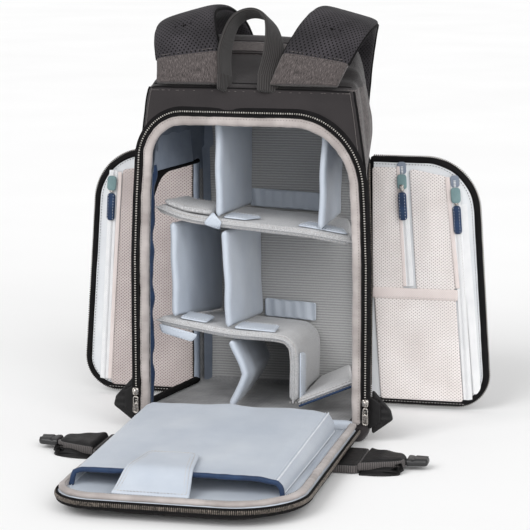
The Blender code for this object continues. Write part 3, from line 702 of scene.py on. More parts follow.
PAINT = {
    "charcoal": plain_cloth("charcoal_nylon_cloth", "2d2a2b", "383435", sheen=0.04, specular=0.25),
    "nylon": plain_cloth("black_nylon_cloth", "131213", "1f1e1f", 0.0008, 0.5, 0.0, blotch=26,
                         crease=0.7, specular=0.3),
    "tape": plain_cloth("black_zip_tape", "111011", "1c1b1c", 0.0012, 0.85, 0.0, blotch=40,
                        crease=0.2, specular=0.12),
    "satin": plain_cloth("pale_blue_lining", "bcc5d2", "d2d9e2", 0.0006, 0.46, 0.2, blotch=9,
                         crease=0.22, specular=0.45),
    # Darker copy of the pale blue lining: painted shade for the hood lining, the corner lining and
    # the side folds; the zip stops use it as their grey-blue
    "grey_blue_and_painted_shade_satin": plain_cloth("grey_blue_and_painted_shade_lining", "7b8493", "98a2b1", 0.0006, 0.5, 0.2, blotch=18,
                              crease=0.6, specular=0.45),
    # The lining painted dark blue-grey for the shell's inside under the hood: painted shade
    "hood_inside_painted_shade": plain_cloth("hood_inner_painted_shade_cloth", "565d69", "7b8492", 0.0009, 0.6, 0.15,
                               "Object", 18, 0.6),
    "inner_floor": plain_cloth("floor_inner_cloth", "747475", "989899", 0.0030, 0.92, 0.3,
                               "Object", 30, 0.6),
    "white_lining": plain_cloth("white_lining", "e4e7eb", "f2f4f6", 0.0007, 0.5, 0.15, blotch=16,
                                crease=0.5),
    "navy": plain_cloth("navy_cloth", "1e2f4b", "2b4366", 0.0010, 0.7, 0.15, blotch=60, crease=0.4),
    "teal": plain_cloth("teal_cloth", "6f8a8d", "88a3a5", 0.0010, blotch=60),
    "white_tape": plain_cloth("white_zip_tape", "eaebed", "f8f8f9", 0.0013, 0.75, blotch=50,
                              crease=0.2),
    "pale_thread": plain_cloth("pale_thread", "b9b4b0", "d9d5d2", 0.0005, blotch=90),
    "grey_thread": plain_cloth("grey_thread", "5b5655", "7a7472", 0.0005, blotch=90),
    "blue_thread": plain_cloth("blue_thread", "dfe5ee", "f2f5fa", 0.0005, 0.6, blotch=90),
    "heather": heather_cloth("heather_cloth", (170, 1100, 1))[0].material,
    "heather_top": heather_cloth("heather_top_cloth", (1100, 170, 1))[0].material,
    "heather_up": heather_cloth("heather_up_cloth", (1100, 170, 1))[0].material,
    "shell": shell_cloth(),
    "air_mesh": air_mesh(),
    # One pale mesh in two copies: the right door's painted lighter as painted light, the left door's
    # painted darker as painted shade
    "mesh": pocket_mesh("pale_mesh_painted_light_cloth", "aea5a2", "ebe3e0", "f6f0ee"),
    "mesh_with_painted_shade": pocket_mesh("pale_mesh_painted_shade_cloth", "867b79", "c2b6b4", "d3c8c5"),
    "webbing": ribbed_webbing(),
    "edging": ribbed_edging(),
    "binding": padded_binding(),
    "loop": ribbed_loop(),
    "velvet": velvet(),
    "hem": hem_cloth(),
    "bronze": worn_metal("bronze_coil_metal", 0.55, 0.36, "3d3935", "857b72"),
    "silver": worn_metal("silver_metal", 1.0, 0.22, "a9a39d", "d9d4cf"),
    "teeth": worn_metal("pale_zip_teeth", 0.45, 0.38, "8f8b85", "cac6c0"),
    "plastic": moulded_plastic()}


# Bag body

# Sections by height: level, half widths near the harness as sewn and as flat panels, half width
# at the far side, near line and far line
LEVELS, NEAR_HALVES, PANEL_HALVES, FAR_HALVES, NEAR_LINES, FAR_LINES = zip(
    (0.0, 0.142, 0.142, 0.102, -0.093, 0.089),
    (0.012, 0.150, 0.150, 0.110, -0.097, 0.097),
    (0.22, 0.149, 0.1493, 0.110, -0.097, 0.097),
    (0.29, 0.146, 0.1491, 0.110, -0.097, 0.097),
    (0.33, 0.1425, 0.149, 0.110, -0.097, 0.097),
    (0.37, 0.1375, 0.139, 0.110, -0.097, 0.097),
    (0.40, 0.134, 0.129, 0.108, -0.097, 0.097),
    (0.43, 0.129, 0.116, 0.104, -0.097, 0.097),
    (0.445, 0.125, 0.113, 0.100, -0.050, 0.0965),
    (0.46, 0.118, 0.109, 0.095, -0.003, 0.094),
    (0.47, 0.108, 0.103, 0.090, 0.028, 0.090),
    (0.478, 0.097, 0.095, 0.083, 0.050, 0.084),
    (0.482, 0.088, 0.088, 0.076, 0.060, 0.079))
BELLY = ((0.33, 0.38, 0.45, 0.482), (0.0, 0.010, 0.004, 0.0))
TAPER = ((0.15, 0.22, 0.29, 0.33, 0.38, 0.42), (1.0, 0.998, 0.979, 0.962, 0.945, 0.940))
LINING_DROP = 0.0118  # how far below the outer cloth the inner cloth of the hood hangs
HOOD_RING = 110
SHELL_PARTS = ("base_panel", "side_post_left", "side_post_right", "front_panel", "back_band",
               "hood_side_left", "hood_side_right", "hood_top")


def body_at(z):
    """Near and far half widths, near and far lines, and how far the sides belly out."""
    lines = (NEAR_HALVES, FAR_HALVES, NEAR_LINES, FAR_LINES)
    return [np.interp(z, LEVELS, line) for line in lines] + [np.interp(z, *BELLY)]


def side_x(y, z, inset=0.0):
    """Half width of the body's side wall at a depth and height."""
    near, far, front, back, belly = body_at(z)
    share = ramp_to(np.asarray(y) - front, back - front)
    return near + (far - near) * share + belly * np.sin(math.pi * share) - inset


def on_side(side, y, z, inset=0.0):
    """Points on a side wall, or an inset behind it."""
    y, z = np.broadcast_arrays(y, z)
    return np.stack([side * side_x(y, z, inset), y, z], axis=-1)


def section(level, inset):
    """Closed horizontal section of the body, from the near left corner round to the right."""
    near, far, front, back, belly = body_at(level)
    near, far, front, back = near - inset, far - inset, front + inset, back - inset
    room = (back - front) * 0.3
    radii = [min(radius, room) for radius in (0.010, 0.020, 0.020, 0.010)]
    line = rounded([(-near, front), (-far, back), (far, back), (near, front)], radii, 8)
    ring = loop_of(line, count=151)[:-1]
    share = ramp_to(ring[:, 1] - front, back - front)
    wide = step_up(np.abs(ring[:, 0]) / far, 0.55, 0.98)
    ring[:, 0] += np.sign(ring[:, 0]) * belly * np.sin(math.pi * share) * wide
    return ring


def arc_of(ring, beyond, centre, count):
    """The part of a section beyond a depth, from left to right."""
    part = ring[ring[:, 1] > beyond]
    part = part[np.argsort(np.arctan2(part[:, 0], part[:, 1] - centre))]
    return evenly(part, count=count)


def at_level(ring, z):
    return np.insert(ring, 2, z, axis=1)


def tree_of(piece):
    return BVHTree.FromObject(piece, bpy.context.evaluated_depsgraph_get())


def onto(tree, points, lift=0.0):
    """Points moved to the nearest place on a surface, and the surface's direction there."""
    found = [tree.find_nearest(Vector(p))[:2] for p in points]
    return np.array([place + normal * lift for place, normal in found]), np.array(
        [normal for _, normal in found])


def dropped(tree, points, way, lift=0.0):
    """Where rays from the points meet a surface, and the surface's direction there."""
    found = [tree.ray_cast(Vector(p), Vector(way))[:2] for p in points]
    return np.array([place + normal * lift for place, normal in found]), np.array(
        [normal for _, normal in found])


def faces_in(place, normal):
    """True for a point of the shell's inner face."""
    core = Vector((0, 0, min(max(place.z, 0.05), 0.40)))
    deep = abs(place.x) < side_x(place.y, place.z) - 0.003
    between = NEAR_Y + 0.003 < place.y < FAR_Y - 0.003
    return deep and between and place.z > BASE_TOP - 0.004 and normal.dot(core - place) > 0


def fuller(place):
    """Share by which the sewn form is wider than its flat panels at a point."""
    panel = np.interp(place.z, LEVELS, PANEL_HALVES)
    outer = np.interp(place.z, LEVELS, NEAR_HALVES) / panel
    inner = np.interp(place.z, *TAPER)
    ratio = inner + (outer - inner) * step_up(abs(place.x) / panel, 0.72, 0.92)
    return 1 + (ratio - 1) * np.clip((FAR_Y - place.y) / (FAR_Y - NEAR_Y), 0, 1)


def cloth_move(p):
    """How far the outer cloth stands out: soft swell, side folds, band creases and top sag."""
    sides = step_up(p.z, 0.30, 0.36) * step_up(abs(p.x), 0.085, 0.110)
    band = step_up(p.z, 0.395, 0.42) * (1 - step_up(p.z, 0.425, 0.44)) * step_up(
        -p.y, 0.085, 0.092)
    return (noise.noise(p * 15) * 0.0013
            + noise.noise(Vector((p.x * 6, p.y * 42, p.z * 7))) * 0.0026 * sides
            + noise.noise(Vector((p.x * 9, 3.1, p.z * 90))) * 0.0012 * band
            + noise.noise(Vector((p.x * 16, p.y * 11, 7.7))) * 0.0024 * step_up(p.z, 0.44, 0.46))


def joined_panels():
    """The CAD panels of the body in one mesh, each a little swollen so that they fuse."""
    joined = bmesh.new()
    for name in SHELL_PARTS:
        panel = bmesh.new()
        panel.from_mesh(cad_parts[name].data)
        bmesh.ops.remove_doubles(panel, verts=panel.verts, dist=1e-5)
        bmesh.ops.recalc_face_normals(panel, faces=panel.faces)
        panel.normal_update()
        for vertex in panel.verts:
            vertex.co += vertex.normal * 0.0006
        copy = bpy.data.meshes.new("panel")
        panel.to_mesh(copy)
        joined.from_mesh(copy)
        panel.free()
        bpy.data.meshes.remove(copy)
    mesh = bpy.data.meshes.new("bag_shell")
    joined.to_mesh(mesh)
    joined.free()
    return mesh


def body_shell():
    """The sewn shell: the CAD panels joined, softened and creased as cloth over foam."""
    piece = shown(bpy.data.objects.new("bag_shell", joined_panels()))
    remesh = piece.modifiers.new("Remesh", "REMESH")
    remesh.mode = "VOXEL"
    remesh.voxel_size = 0.0032
    graph = bpy.context.evaluated_depsgraph_get()
    fine = bpy.data.meshes.new_from_object(piece.evaluated_get(graph))
    piece.modifiers.clear()
    piece.data = fine
    work = bmesh.new()
    work.from_mesh(fine)
    for _ in range(5):
        bmesh.ops.smooth_vert(work, verts=work.verts, factor=0.5, use_axis_x=True,
                              use_axis_y=True, use_axis_z=True)
    for vertex in work.verts:
        vertex.co.x *= fuller(vertex.co)
    work.normal_update()
    for vertex in work.verts:
        if not faces_in(vertex.co, vertex.normal):
            vertex.co += vertex.normal * cloth_move(vertex.co)
        vertex.co.z = max(vertex.co.z, 0.0004)
    work.to_mesh(fine)
    work.free()
    fine.materials.clear()
    for key in ("shell", "hood_inside_painted_shade", "inner_floor"):
        fine.materials.append(PAINT[key])
    # Inner faces under the hood get the dark lining colour as painted shade; the lower inner faces
    # get the grey floor cloth
    for face in fine.polygons:
        if faces_in(face.center, face.normal):
            face.material_index = 1 if face.center.z > SIDE_TOP - 0.01 else 2
    fine.shade_smooth()
    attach(piece, "pack")
    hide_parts(*SHELL_PARTS)
    return tree_of(piece)


def seams(tree):
    """Piping and stitching over the body's panel joins."""
    cord, thread = Cloth(), Cloth()
    heights = np.linspace(0.03, SEAM_Z, 120)
    for side, _ in SIDES:
        guess = UPRIGHT(side * (np.interp(heights, LEVELS, NEAR_HALVES) - 0.0012), heights,
                        NEAR_Y + 0.0050)
        cord.tube(evenly(onto(tree, guess, 0.0004)[0], 0.003), 0.0015)
        inner, ups = onto(tree, guess + (-side * 0.0060, -0.004, 0), 0.0002)
        thread.stitches(inner, ups, 0.0028, 0.0014, 0.0003)
    spans = np.linspace(-0.122, 0.122, 110)
    for rise, radius in ((0.0005, 0.0010), (0.0055, 0.0008)):
        guess = UPRIGHT(spans, SEAM_Z + rise, NEAR_Y + rise * 2.2)
        cord.tube(evenly(onto(tree, guess, 0.0002)[0], 0.003), radius)
    cord.build("body_piping", "pack", "black_nylon", "tape")
    thread.stitches(*onto(tree, UPRIGHT(spans, SEAM_Z - 0.0035, NEAR_Y), 0.0002), 0.0028, 0.0014,
                    0.0003)
    thread.build("body_stitches", "pack", "charcoal_nylon", "grey_thread")


def top_patch(tree):
    """Cloth patch on the top with three piped lines."""
    xs = np.linspace(-0.064, 0.030, 40)
    rows = np.array([dropped(tree, [(x, y, 0.56) for x in xs], -Z, 0.0012)[0]
                     for y in np.linspace(0.004, 0.040, 14)])
    under = rows - 0.0022 * Z
    patch = Cloth().grid(rows).grid(under)
    for edge in (np.s_[0], np.s_[-1], np.s_[:, 0], np.s_[:, -1]):
        patch.grid([rows[edge], under[edge]])
    patch.build("top_patch", "pack", "heather_weave", "heather_top")
    piping = Cloth()
    for line in (rows[0], rows[2], rows[-1]):
        piping.tube(line + 0.0006 * Z, 0.0009)
    piping.build("top_patch_piping", "pack", "charcoal_nylon", "charcoal")


def opening_line(offset, start, step=0.002):
    """Arched line round the main opening, in the near face, from left foot to right foot."""
    half, top = OPENING_HALF + offset, OPENING_TOP + offset
    right, left = OPENING_RADII[0] + offset, OPENING_RADII[1] + offset
    line = rounded([(half, start), (half, top), (-half, top), (-half, start)],
                   (SHARP, right, left, SHARP), 24)
    line = evenly([(half, start)] + line[25:-25] + [(-half, start)], step)[::-1]
    line[:, 0] *= np.interp(line[:, 1], *TAPER)
    return line


def opening_edge():
    line = opening_line(TRIM_WIDTH / 2 - 0.0003, BASE_TOP + 0.002)
    wave = wobble(line, 22, 3.0)
    path = UPRIGHT(line[:, 0] + wave * 0.0006, line[:, 1] + wave * 0.0004,
                   NEAR_Y - 0.0012 + wobble(line, 30, 8.0) * 0.0007)
    pucker = (((120, 60, 120), 1.0, 0.0006), (34, 5.0, 0.0006))
    Cloth().ribbon(path, -Y, TRIM_WIDTH / 2 - 0.0002, 0.0050, 0.8, 22, ripple=pucker).build(
        "opening_binding", "pack", "padded_binding", "binding", stands_for=["opening_trim"])
    line = opening_line(TRIM_WIDTH / 2 + 0.0030, BASE_TOP + 0.006)
    Cloth().stitches(UPRIGHT(*line.T, NEAR_Y - 0.0058), -Y, 0.0013, 0.0022).build(
        "opening_binding_stitches", "pack", "padded_binding", "grey_thread")
    tape = Cloth()
    for offset, width, rise in ((0.0152, 0.0042, 0.00144), (0.0198, 0.0026, 0.00072)):
        line = opening_line(offset, BASE_TOP + 0.003)
        tape.ribbon(UPRIGHT(*line.T, NEAR_Y - rise + wobble(line, 28, 2.0) * 0.0003), -Y, width,
                    0.0009, 0.5, 12)
    tape.build("opening_zip_tape", "pack", "black_nylon", "tape", stands_for=["main_zip"])
    line = opening_line(0.0124, BASE_TOP + 0.003)
    Cloth().tube(UPRIGHT(*line.T, NEAR_Y - 0.0032), 0.0011).build(
        "opening_zip_cord", "pack", "black_nylon", "tape")
    line = opening_line(0.0166, BASE_TOP + 0.006, 0.0030)
    Cloth().teeth(UPRIGHT(*line.T, NEAR_Y - 0.0036), -Y, (0.0011, 0.0008, 0.0008)).build(
        "opening_zip_teeth", "pack", "silver_metal", "teeth", merge=TEETH_MERGE)


def body_linings():
    """Inner cloths: ribbed loop cloth at the back, smooth lining in the corner and the hood."""
    rows = []
    for z in np.linspace(BASE_TOP + 0.001, 0.436, 90):
        back = arc_of(section(z + LINING_DROP, WALL + 0.0012), 0.074, 0.0, 70)
        bulge = wobble(np.insert(back[:, :1], 1, z, axis=1), 9, 4.0) * 0.0016
        back[:, 1] -= np.abs(bulge * np.sin(np.linspace(0, math.pi, 70)))
        rows.append(at_level(back, z))
    rows = np.array(rows)
    corner = int(np.argmax(rows[10, :, 0] > -0.0955))
    Cloth().grid(rows[:, corner:]).build("back_wall_lining", "pack", "ribbed_loop_lining", "loop")
    folds = rows[:, :corner + 1].copy()
    crease = np.sin(np.linspace(0, 3 * math.pi, corner + 1)) * 0.0012
    folds[:, :, 0] += np.abs(crease) + np.abs(wobble(folds, (40, 40, 9), 3.0)) * 0.0012
    # The corner lining takes the darker lining copy as painted shade
    Cloth().grid(folds).build("corner_lining", "pack", "satin_lining", "grey_blue_and_painted_shade_satin")

    sides = np.array([at_level(arc_of(section(z + LINING_DROP, WALL + 0.0028), -0.086, -0.02,
                                      HOOD_RING), z)
                      for z in np.linspace(SIDE_TOP + 0.002, 0.404, 22)])
    sides[:, :, 0] -= np.sign(sides[:, :, 0]) * np.abs(wobble(sides, 24, 2.0)) * 0.0020
    top = [at_level(section(level, WALL + 0.0026), level - LINING_DROP)
           for level in (0.4158, 0.425, 0.43, 0.437, 0.445, 0.453, 0.46, 0.466, 0.47, 0.475, 0.478)]
    last = top[-1]
    centre = np.array([0.0, 0.055, last[0, 2] + 0.0003])
    top += [centre + (last - centre) * share for share in (0.75, 0.5, 0.25, 0.02)]
    # The hood lining takes the darker lining copy as painted shade
    Cloth().grid(sides[:, :28]).grid(sides[:, -28:]).grid(top, wrap=True).build(
        "hood_lining", "pack", "satin_lining", "grey_blue_and_painted_shade_satin")


def side_edges():
    """Bindings, zip tape and rounded corners of both side openings."""
    radius, near, far = 0.050, POST_FAR_Y, FAR_Y - 0.024
    bottom, top = BASE_TOP + 0.002, SIDE_TOP
    turns = np.linspace(math.pi, math.pi / 2, 14)
    around = np.column_stack([np.cos(turns), np.sin(turns)])
    middle = np.array([near + radius, top - radius])
    line = evenly(np.vstack([[(near, bottom), (near, top - radius)], middle + radius * around[1:],
                             [(far, top), (far, bottom)]]), 0.004)
    turn = int(np.argmax(line[:, 0] > far - 0.002))
    sill = np.arange(near - 0.004, far + 0.004, 0.004)
    heights = np.arange(BASE_TOP + 0.004, top + 0.012, 0.0018)
    wave = (np.sin(heights * 2 * math.pi / 0.052 + 0.6) * 0.0011
            + np.sin(heights * 2 * math.pi / 0.031) * 0.0006 - 0.0036)
    for side, word in SIDES:
        bound = on_side(side, *line.T, 0.0040)
        for name, part, paint, thick, slot in (
                ("side_binding_", bound[:turn + 1], "tape", 0.0046, "black_nylon"),
                ("side_sill_", on_side(side, sill, BASE_TOP + 0.0036, 0.0040), "tape", 0.0044,
                 "black_nylon"),
                # the side folds take the darker lining copy as painted shade
                ("side_fold_", bound[turn:], "grey_blue_and_painted_shade_satin", 0.0040, "satin_lining")):
            Cloth().tube(part, thick, 12, [(60, 2.0, 0.0005)]).build(name + word, "pack", slot,
                                                                     paint)
        outer = on_side(side, *line.T, -0.0012)
        along = tangents(outer)
        ups = square_to(np.broadcast_to(side * X, outer.shape), along)
        across = np.cross(along, ups)
        Cloth().sweep(outer - across * side * 0.0060, across, 0.0052, 0.0009, 0.5, 10).build(
            "side_zip_tape_" + word, "pack", "black_nylon", "tape")
        fine = evenly(outer - across * side * 0.0012 + ups * 0.0012, 0.0026)
        ups = square_to(np.broadcast_to(side * X, fine.shape), tangents(fine))
        Cloth().teeth(fine, ups, (0.0014, 0.0009, 0.0008)).build(
            "side_zip_teeth_" + word, "pack", "bronze_coil", "bronze", merge=TEETH_MERGE)

        gusset = Cloth()
        arc = middle + (radius + 0.001) * around
        marks = np.linspace(0, 1, 6)[:, None]
        for inset in (0.0018, 0.0068):
            gusset.grid([on_side(side, *(spot + ((near - 0.004, top + 0.004) - spot) * marks).T,
                                 inset) for spot in arc])
        gusset.build("side_gusset_" + word, "pack", "black_nylon", "tape")

        root = on_side(side, near - 0.0015, heights, WALL + 0.0006)
        profile = ((-0.0030, 0.0, 0.0042), (0.0010, 0.0, 0.0046), (0.0052, 1.0, 0.0040),
                   (0.0066, 1.0, 0.0018), (0.0056, 1.0, -0.0006), (0.0014, 0.0, -0.0040),
                   (-0.0010, 0.0, -0.0060))
        facing = [root + np.outer(-side * (inward + wave * waving), X) + y * Y
                  for inward, waving, y in profile]
        Cloth().grid(np.stack(facing, axis=1)).build("side_facing_" + word, "pack", "navy_trim",
                                                     "navy")


def front_pocket():
    """Padded pocket on the bag's far side, with a curved zip."""
    outline = rounded([(-0.094, 0.034), (0.094, 0.034), (0.090, 0.352), (-0.090, 0.352)],
                      (0.022, 0.022, 0.040, 0.040), 12)

    def puff(ab, away):
        return ramp_to(away, 0.07) ** 0.8 * 0.004 + wobble(ab, (10, 26), 6.0) * 0.0016
    pocket = Cloth().slab(outline, UPRIGHT, FAR_Y - 0.001, high("front_pocket").y - 0.004, 0.016,
                          top=puff, rows=70, columns=60)
    tree = tree_of(pocket.build("front_pocket_pad", "pack", "heather_weave", "heather_up",
                                stands_for=["front_pocket"]))
    inner = rounded([(-0.074, 0.06), (0.074, 0.06), (0.070, 0.324), (-0.070, 0.324)],
                    (0.02, 0.02, 0.036, 0.036), 12)
    arch = loop_of(inner, 0.0026)
    arch = arch[arch[:, 1] > 0.235]
    arch = evenly(arch[np.argsort(np.arctan2(arch[:, 0], arch[:, 1] - 0.2))], 0.0026)
    places, ups = dropped(tree, UPRIGHT(*arch.T, 0.2), -Y)
    along = tangents(places)
    across = np.cross(along, ups)
    Cloth().sweep(places + ups * 0.0002, across, 0.0068, 0.0008, 0.5, 12).build(
        "front_pocket_zip_tape", "pack", "black_nylon", "tape")
    Cloth().scatter(STUD, places + ups * 0.0012, across, ups, along, (0.0024, 0.0009, 0.0009)).build(
        "front_pocket_zip_teeth", "pack", "bronze_coil", "bronze", merge=TEETH_MERGE)


# Dividers

SHELVES = (
    ("shelf_upper", 0.011,
     [(-0.124, 0.280), (-0.090, 0.268), (-0.045, 0.262), (0.060, 0.2535), (0.124, 0.244)],
     [(-0.092, 0.260), (-0.070, 0.257), (-0.040, 0.254), (0.045, 0.248), (0.090, 0.243)]),
    ("shelf_middle", 0.011,
     [(-0.124, 0.138), (-0.080, 0.131), (-0.030, 0.124), (0.028, 0.121), (0.043, 0.115),
      (0.049, 0.100), (0.049, 0.041)],
     [(-0.092, 0.116), (-0.065, 0.114), (-0.028, 0.111), (0.026, 0.108), (0.040, 0.102),
      (0.046, 0.088), (0.046, 0.037)]),
    ("cell_floor", 0.008, [(0.0565, 0.042), (0.124, 0.071)], [(0.0535, 0.036), (0.092, 0.055)]))
UPRIGHTS = (
    ("upper_left", [(-0.045, 0.2705), (-0.046, 0.398)], [(-0.042, 0.2635), (-0.043, 0.398)]),
    ("upper_right", [(0.083, 0.2590), (0.088, 0.390)], [(0.074, 0.2530), (0.078, 0.398)]),
    ("middle_left", [(-0.101, 0.1435), (-0.104, 0.2605)], [(-0.082, 0.1235), (-0.084, 0.2510)]),
    ("middle_right", [(-0.033, 0.1325), (-0.038, 0.2525)], [(-0.028, 0.1190), (-0.031, 0.2455)]),
    ("lower", [(-0.030, 0.1150), (-0.0145, 0.080), (-0.0135, 0.066), (-0.030, 0.031)],
     [(-0.036, 0.1020), (-0.0205, 0.072), (-0.0195, 0.060), (-0.036, 0.030)]))


def normals_of(line):
    """Unit vectors square to a 2-D line, on its left."""
    along = tangents(line)
    return np.column_stack([-along[:, 1], along[:, 0]])


def padded_sheet(name, near_line, far_line, thick, paint, slot, edge, crease):
    """Padded sheet between a line near the opening and one near the back, its ends rounded."""
    near, far = [evenly(smooth(line, 10), count=44) for line in (near_line, far_line)]
    faces = ([], [])
    for y in SHELF_NEAR + (SHELF_FAR - SHELF_NEAR) * spread(30, 0.7):
        line = near + (far - near) * (y - SHELF_NEAR) / (SHELF_FAR - SHELF_NEAR)
        ends = np.minimum(lengths(line), lengths(line)[-1] - lengths(line))
        away = np.minimum(ends, min(y - SHELF_NEAR, SHELF_FAR - y))
        lift = np.sqrt(1 - (1 - ramp_to(away, thick * edge)) ** 2)
        soft = waves(at_level(line, y), (26, 5.0, crease), ((50, 30, 90), 9.0, crease * 0.4)) * lift
        full = (thick / 2 + ramp_to(away, 0.03) * 0.0008) * lift
        for rows, height in zip(faces, (soft + full, soft - full)):
            rows.append(UPRIGHT(*(line + normals_of(line) * height[:, None]).T, y))
    Cloth().grid(faces[0]).grid(faces[1]).build(name + "_pad", "pack", slot, paint,
                                                stands_for=[name])


def front_seams(name, near_line, thick):
    """Rows of stitching and piping along the rounded front edge of a shelf."""
    line = evenly(smooth(near_line, 10), 0.003)
    ups = normals_of(line)
    thread = Cloth()
    for angle in (math.radians(40), math.radians(-40)):
        y = SHELF_NEAR + thick * 0.45 * (1 - math.cos(angle)) - 0.0003
        path = UPRIGHT(*(line + ups * (thick / 2 * math.sin(angle) * 1.02)).T, y)
        thread.stitches(path, UPRIGHT(*(ups * math.sin(angle)).T, -math.cos(angle)), 0.0026, 0.0014,
                        0.0004)
    thread.build(name + "_stitches", "pack", "divider_velvet", "pale_thread")
    path = UPRIGHT(*line.T, SHELF_NEAR - 0.0004)
    cord = Cloth().tube(path, 0.0011)
    if name == "cell_floor":
        cord.tube(path + (0.001, 0.001, -0.0046), 0.0016, slot=1)
    cord.build(name + "_piping", "pack", "divider_velvet", "velvet", "navy")


def dividers():
    for name, thick, near, far in SHELVES:
        padded_sheet(name, near, far, thick, "velvet", "divider_velvet", 0.45, 0.0009)
        front_seams(name, near, thick)
    for name, near, far in UPRIGHTS:
        padded_sheet("divider_" + name, near, far, 0.0090, "satin", "satin_lining", 0.85, 0.0018)


def tab(name, outline_corners, radii, place, thick=0.0022, paint="satin", slot="satin_lining",
        inset=0.0030, thread="blue_thread"):
    """Small stitched cloth tab laid on a surface."""
    outline = rounded(outline_corners, radii, 6)
    Cloth().slab(outline, place, 0.0, thick, thick * 0.9, relief(0.0006, 0.008, (60, 3.0, 0.0006)),
                 columns=18).build(name, "pack", slot, paint)
    centre = np.mean(outline, axis=0)
    line = loop_of(outline, 0.002)
    line = line + unit(centre - line) * inset
    path = place(*line.T, np.full(len(line), thick + 0.0007))
    up = place(*centre, 1.0) - place(*centre, 0.0)
    Cloth().stitches(path, np.ravel(up), radius=0.0003).build(name + "_stitches", "pack", slot,
                                                             thread)


def on_shelf(xs, heights, start):
    """Place function that follows a shelf's top face."""
    def place(a, b, h):
        return np.stack(np.broadcast_arrays(a, SHELF_NEAR + start + b, np.interp(a, xs, heights) + h),
                        axis=-1)
    return place


def on_edge(a, b, h):
    """Place on the rounded near edge of the upper shelf."""
    back = np.clip((np.abs(b - 0.2645) - 0.004) / 0.004, 0, 2) ** 2 * 0.0022
    return UPRIGHT(a, b, SHELF_NEAR - 0.0018 + back - h)


def divider_tabs():
    """Grip tabs where the dividers hold to the shelves and the back wall."""
    upper = ((-0.124, -0.090, -0.045, 0.060, 0.124), (0.2862, 0.2742, 0.2682, 0.2600, 0.2505))
    middle = ((-0.124, -0.080, -0.030, 0.028), (0.1444, 0.1374, 0.1304, 0.1272))
    tab("grip_tab_upper_left", [(-0.041, 0.0), (-0.012, 0.0), (0.004, 0.030), (-0.038, 0.036)],
        0.004, on_shelf(*upper, 0.005))
    tab("grip_tab_upper_right", [(0.052, 0.002), (0.116, 0.002), (0.106, 0.030), (0.060, 0.034)],
        0.004, on_shelf(*upper, 0.004))
    tab("shelf_fold", [(-0.116, 0.0), (-0.054, 0.004), (-0.050, 0.070), (-0.104, 0.070)], 0.006,
        on_shelf(*upper, 0.001), 0.0068, "velvet", "divider_velvet", 0.0040, "pale_thread")
    tab("grip_tab_middle_left", [(-0.096, 0.0), (-0.062, 0.002), (-0.060, 0.040), (-0.094, 0.040)],
        0.004, on_shelf(*middle, 0.003))
    tab("grip_tab_middle_right", [(-0.027, 0.0), (0.026, 0.0), (0.024, 0.036), (-0.025, 0.036)],
        0.004, on_shelf(*middle, 0.003))
    tab("grip_tab_edge", [(-0.0640, 0.2610), (-0.0440, 0.2530), (-0.0400, 0.2640),
                          (-0.0520, 0.2760)], 0.003, on_edge, 0.0018)
    tab("grip_sling_left", [(-0.1230, 0.1330), (-0.1190, 0.1210), (-0.0800, 0.1110),
                            (-0.0720, 0.1210)], (0.002, 0.004, 0.004, 0.002),
        plane((0, SHELF_NEAR + 0.0040, 0), X, Z, -Y), 0.0030)
    tab("grip_strip_turn", [(0.0, 0.036), (0.030, 0.036), (0.030, 0.098), (0.0, 0.104)], 0.003,
        plane((0.0560, SHELF_NEAR + 0.004, 0), Y, Z, X), 0.0020)

    def pleat(ab, away):
        return np.sin(ab[..., 0] * 2 * math.pi / 0.0135 + ab[..., 1] * 40) * 0.0010 + wobble(
            ab, (90, 20), 2.0) * 0.0012
    on_wall = plane((0, SHELF_FAR + 0.0010, 0), X, Z, -Y)
    for name, base in (("hook_strip_upper", 0.257), ("hook_strip_middle", 0.113)):
        left, right, top = low(name).x, high(name).x, high(name).z
        outline = rounded([(left, base + 0.004), (right, base), (right, top - 0.003),
                           (left, top + 0.001)], 0.003, 6)
        Cloth().slab(outline, on_wall, 0.0, 0.0024, 0.0016, top=pleat, rows=40, columns=30).build(
            name + "_cloth", "pack", "satin_lining", "satin", stands_for=[name])


# Open panel with its sleeve

on_flap = plane((0, FLAP_Y, FLAP_Z), X, -Y, Z)
SLEEVE_HALF, SLEEVE_CENTRE = 0.118, -0.006
SLEEVE_START, SLEEVE_MOUTH = 0.018, 0.322
TAB_WAVES = (34, 3.0, 0.0009)


def flap_edge(offset, step=0.003):
    """The panel's edge without its hinge side, as across and along."""
    half, end = FLAP_HALF + offset, FLAP_LENGTH + offset
    right, left = FLAP_RADII
    line = rounded([(half, 0.006), (half, end), (-half, end), (-half, 0.006)],
                   (SHARP, right + offset, left + offset, SHARP), 26)
    return evenly([(half, 0.006)] + line[27:-27] + [(-half, 0.006)], step)


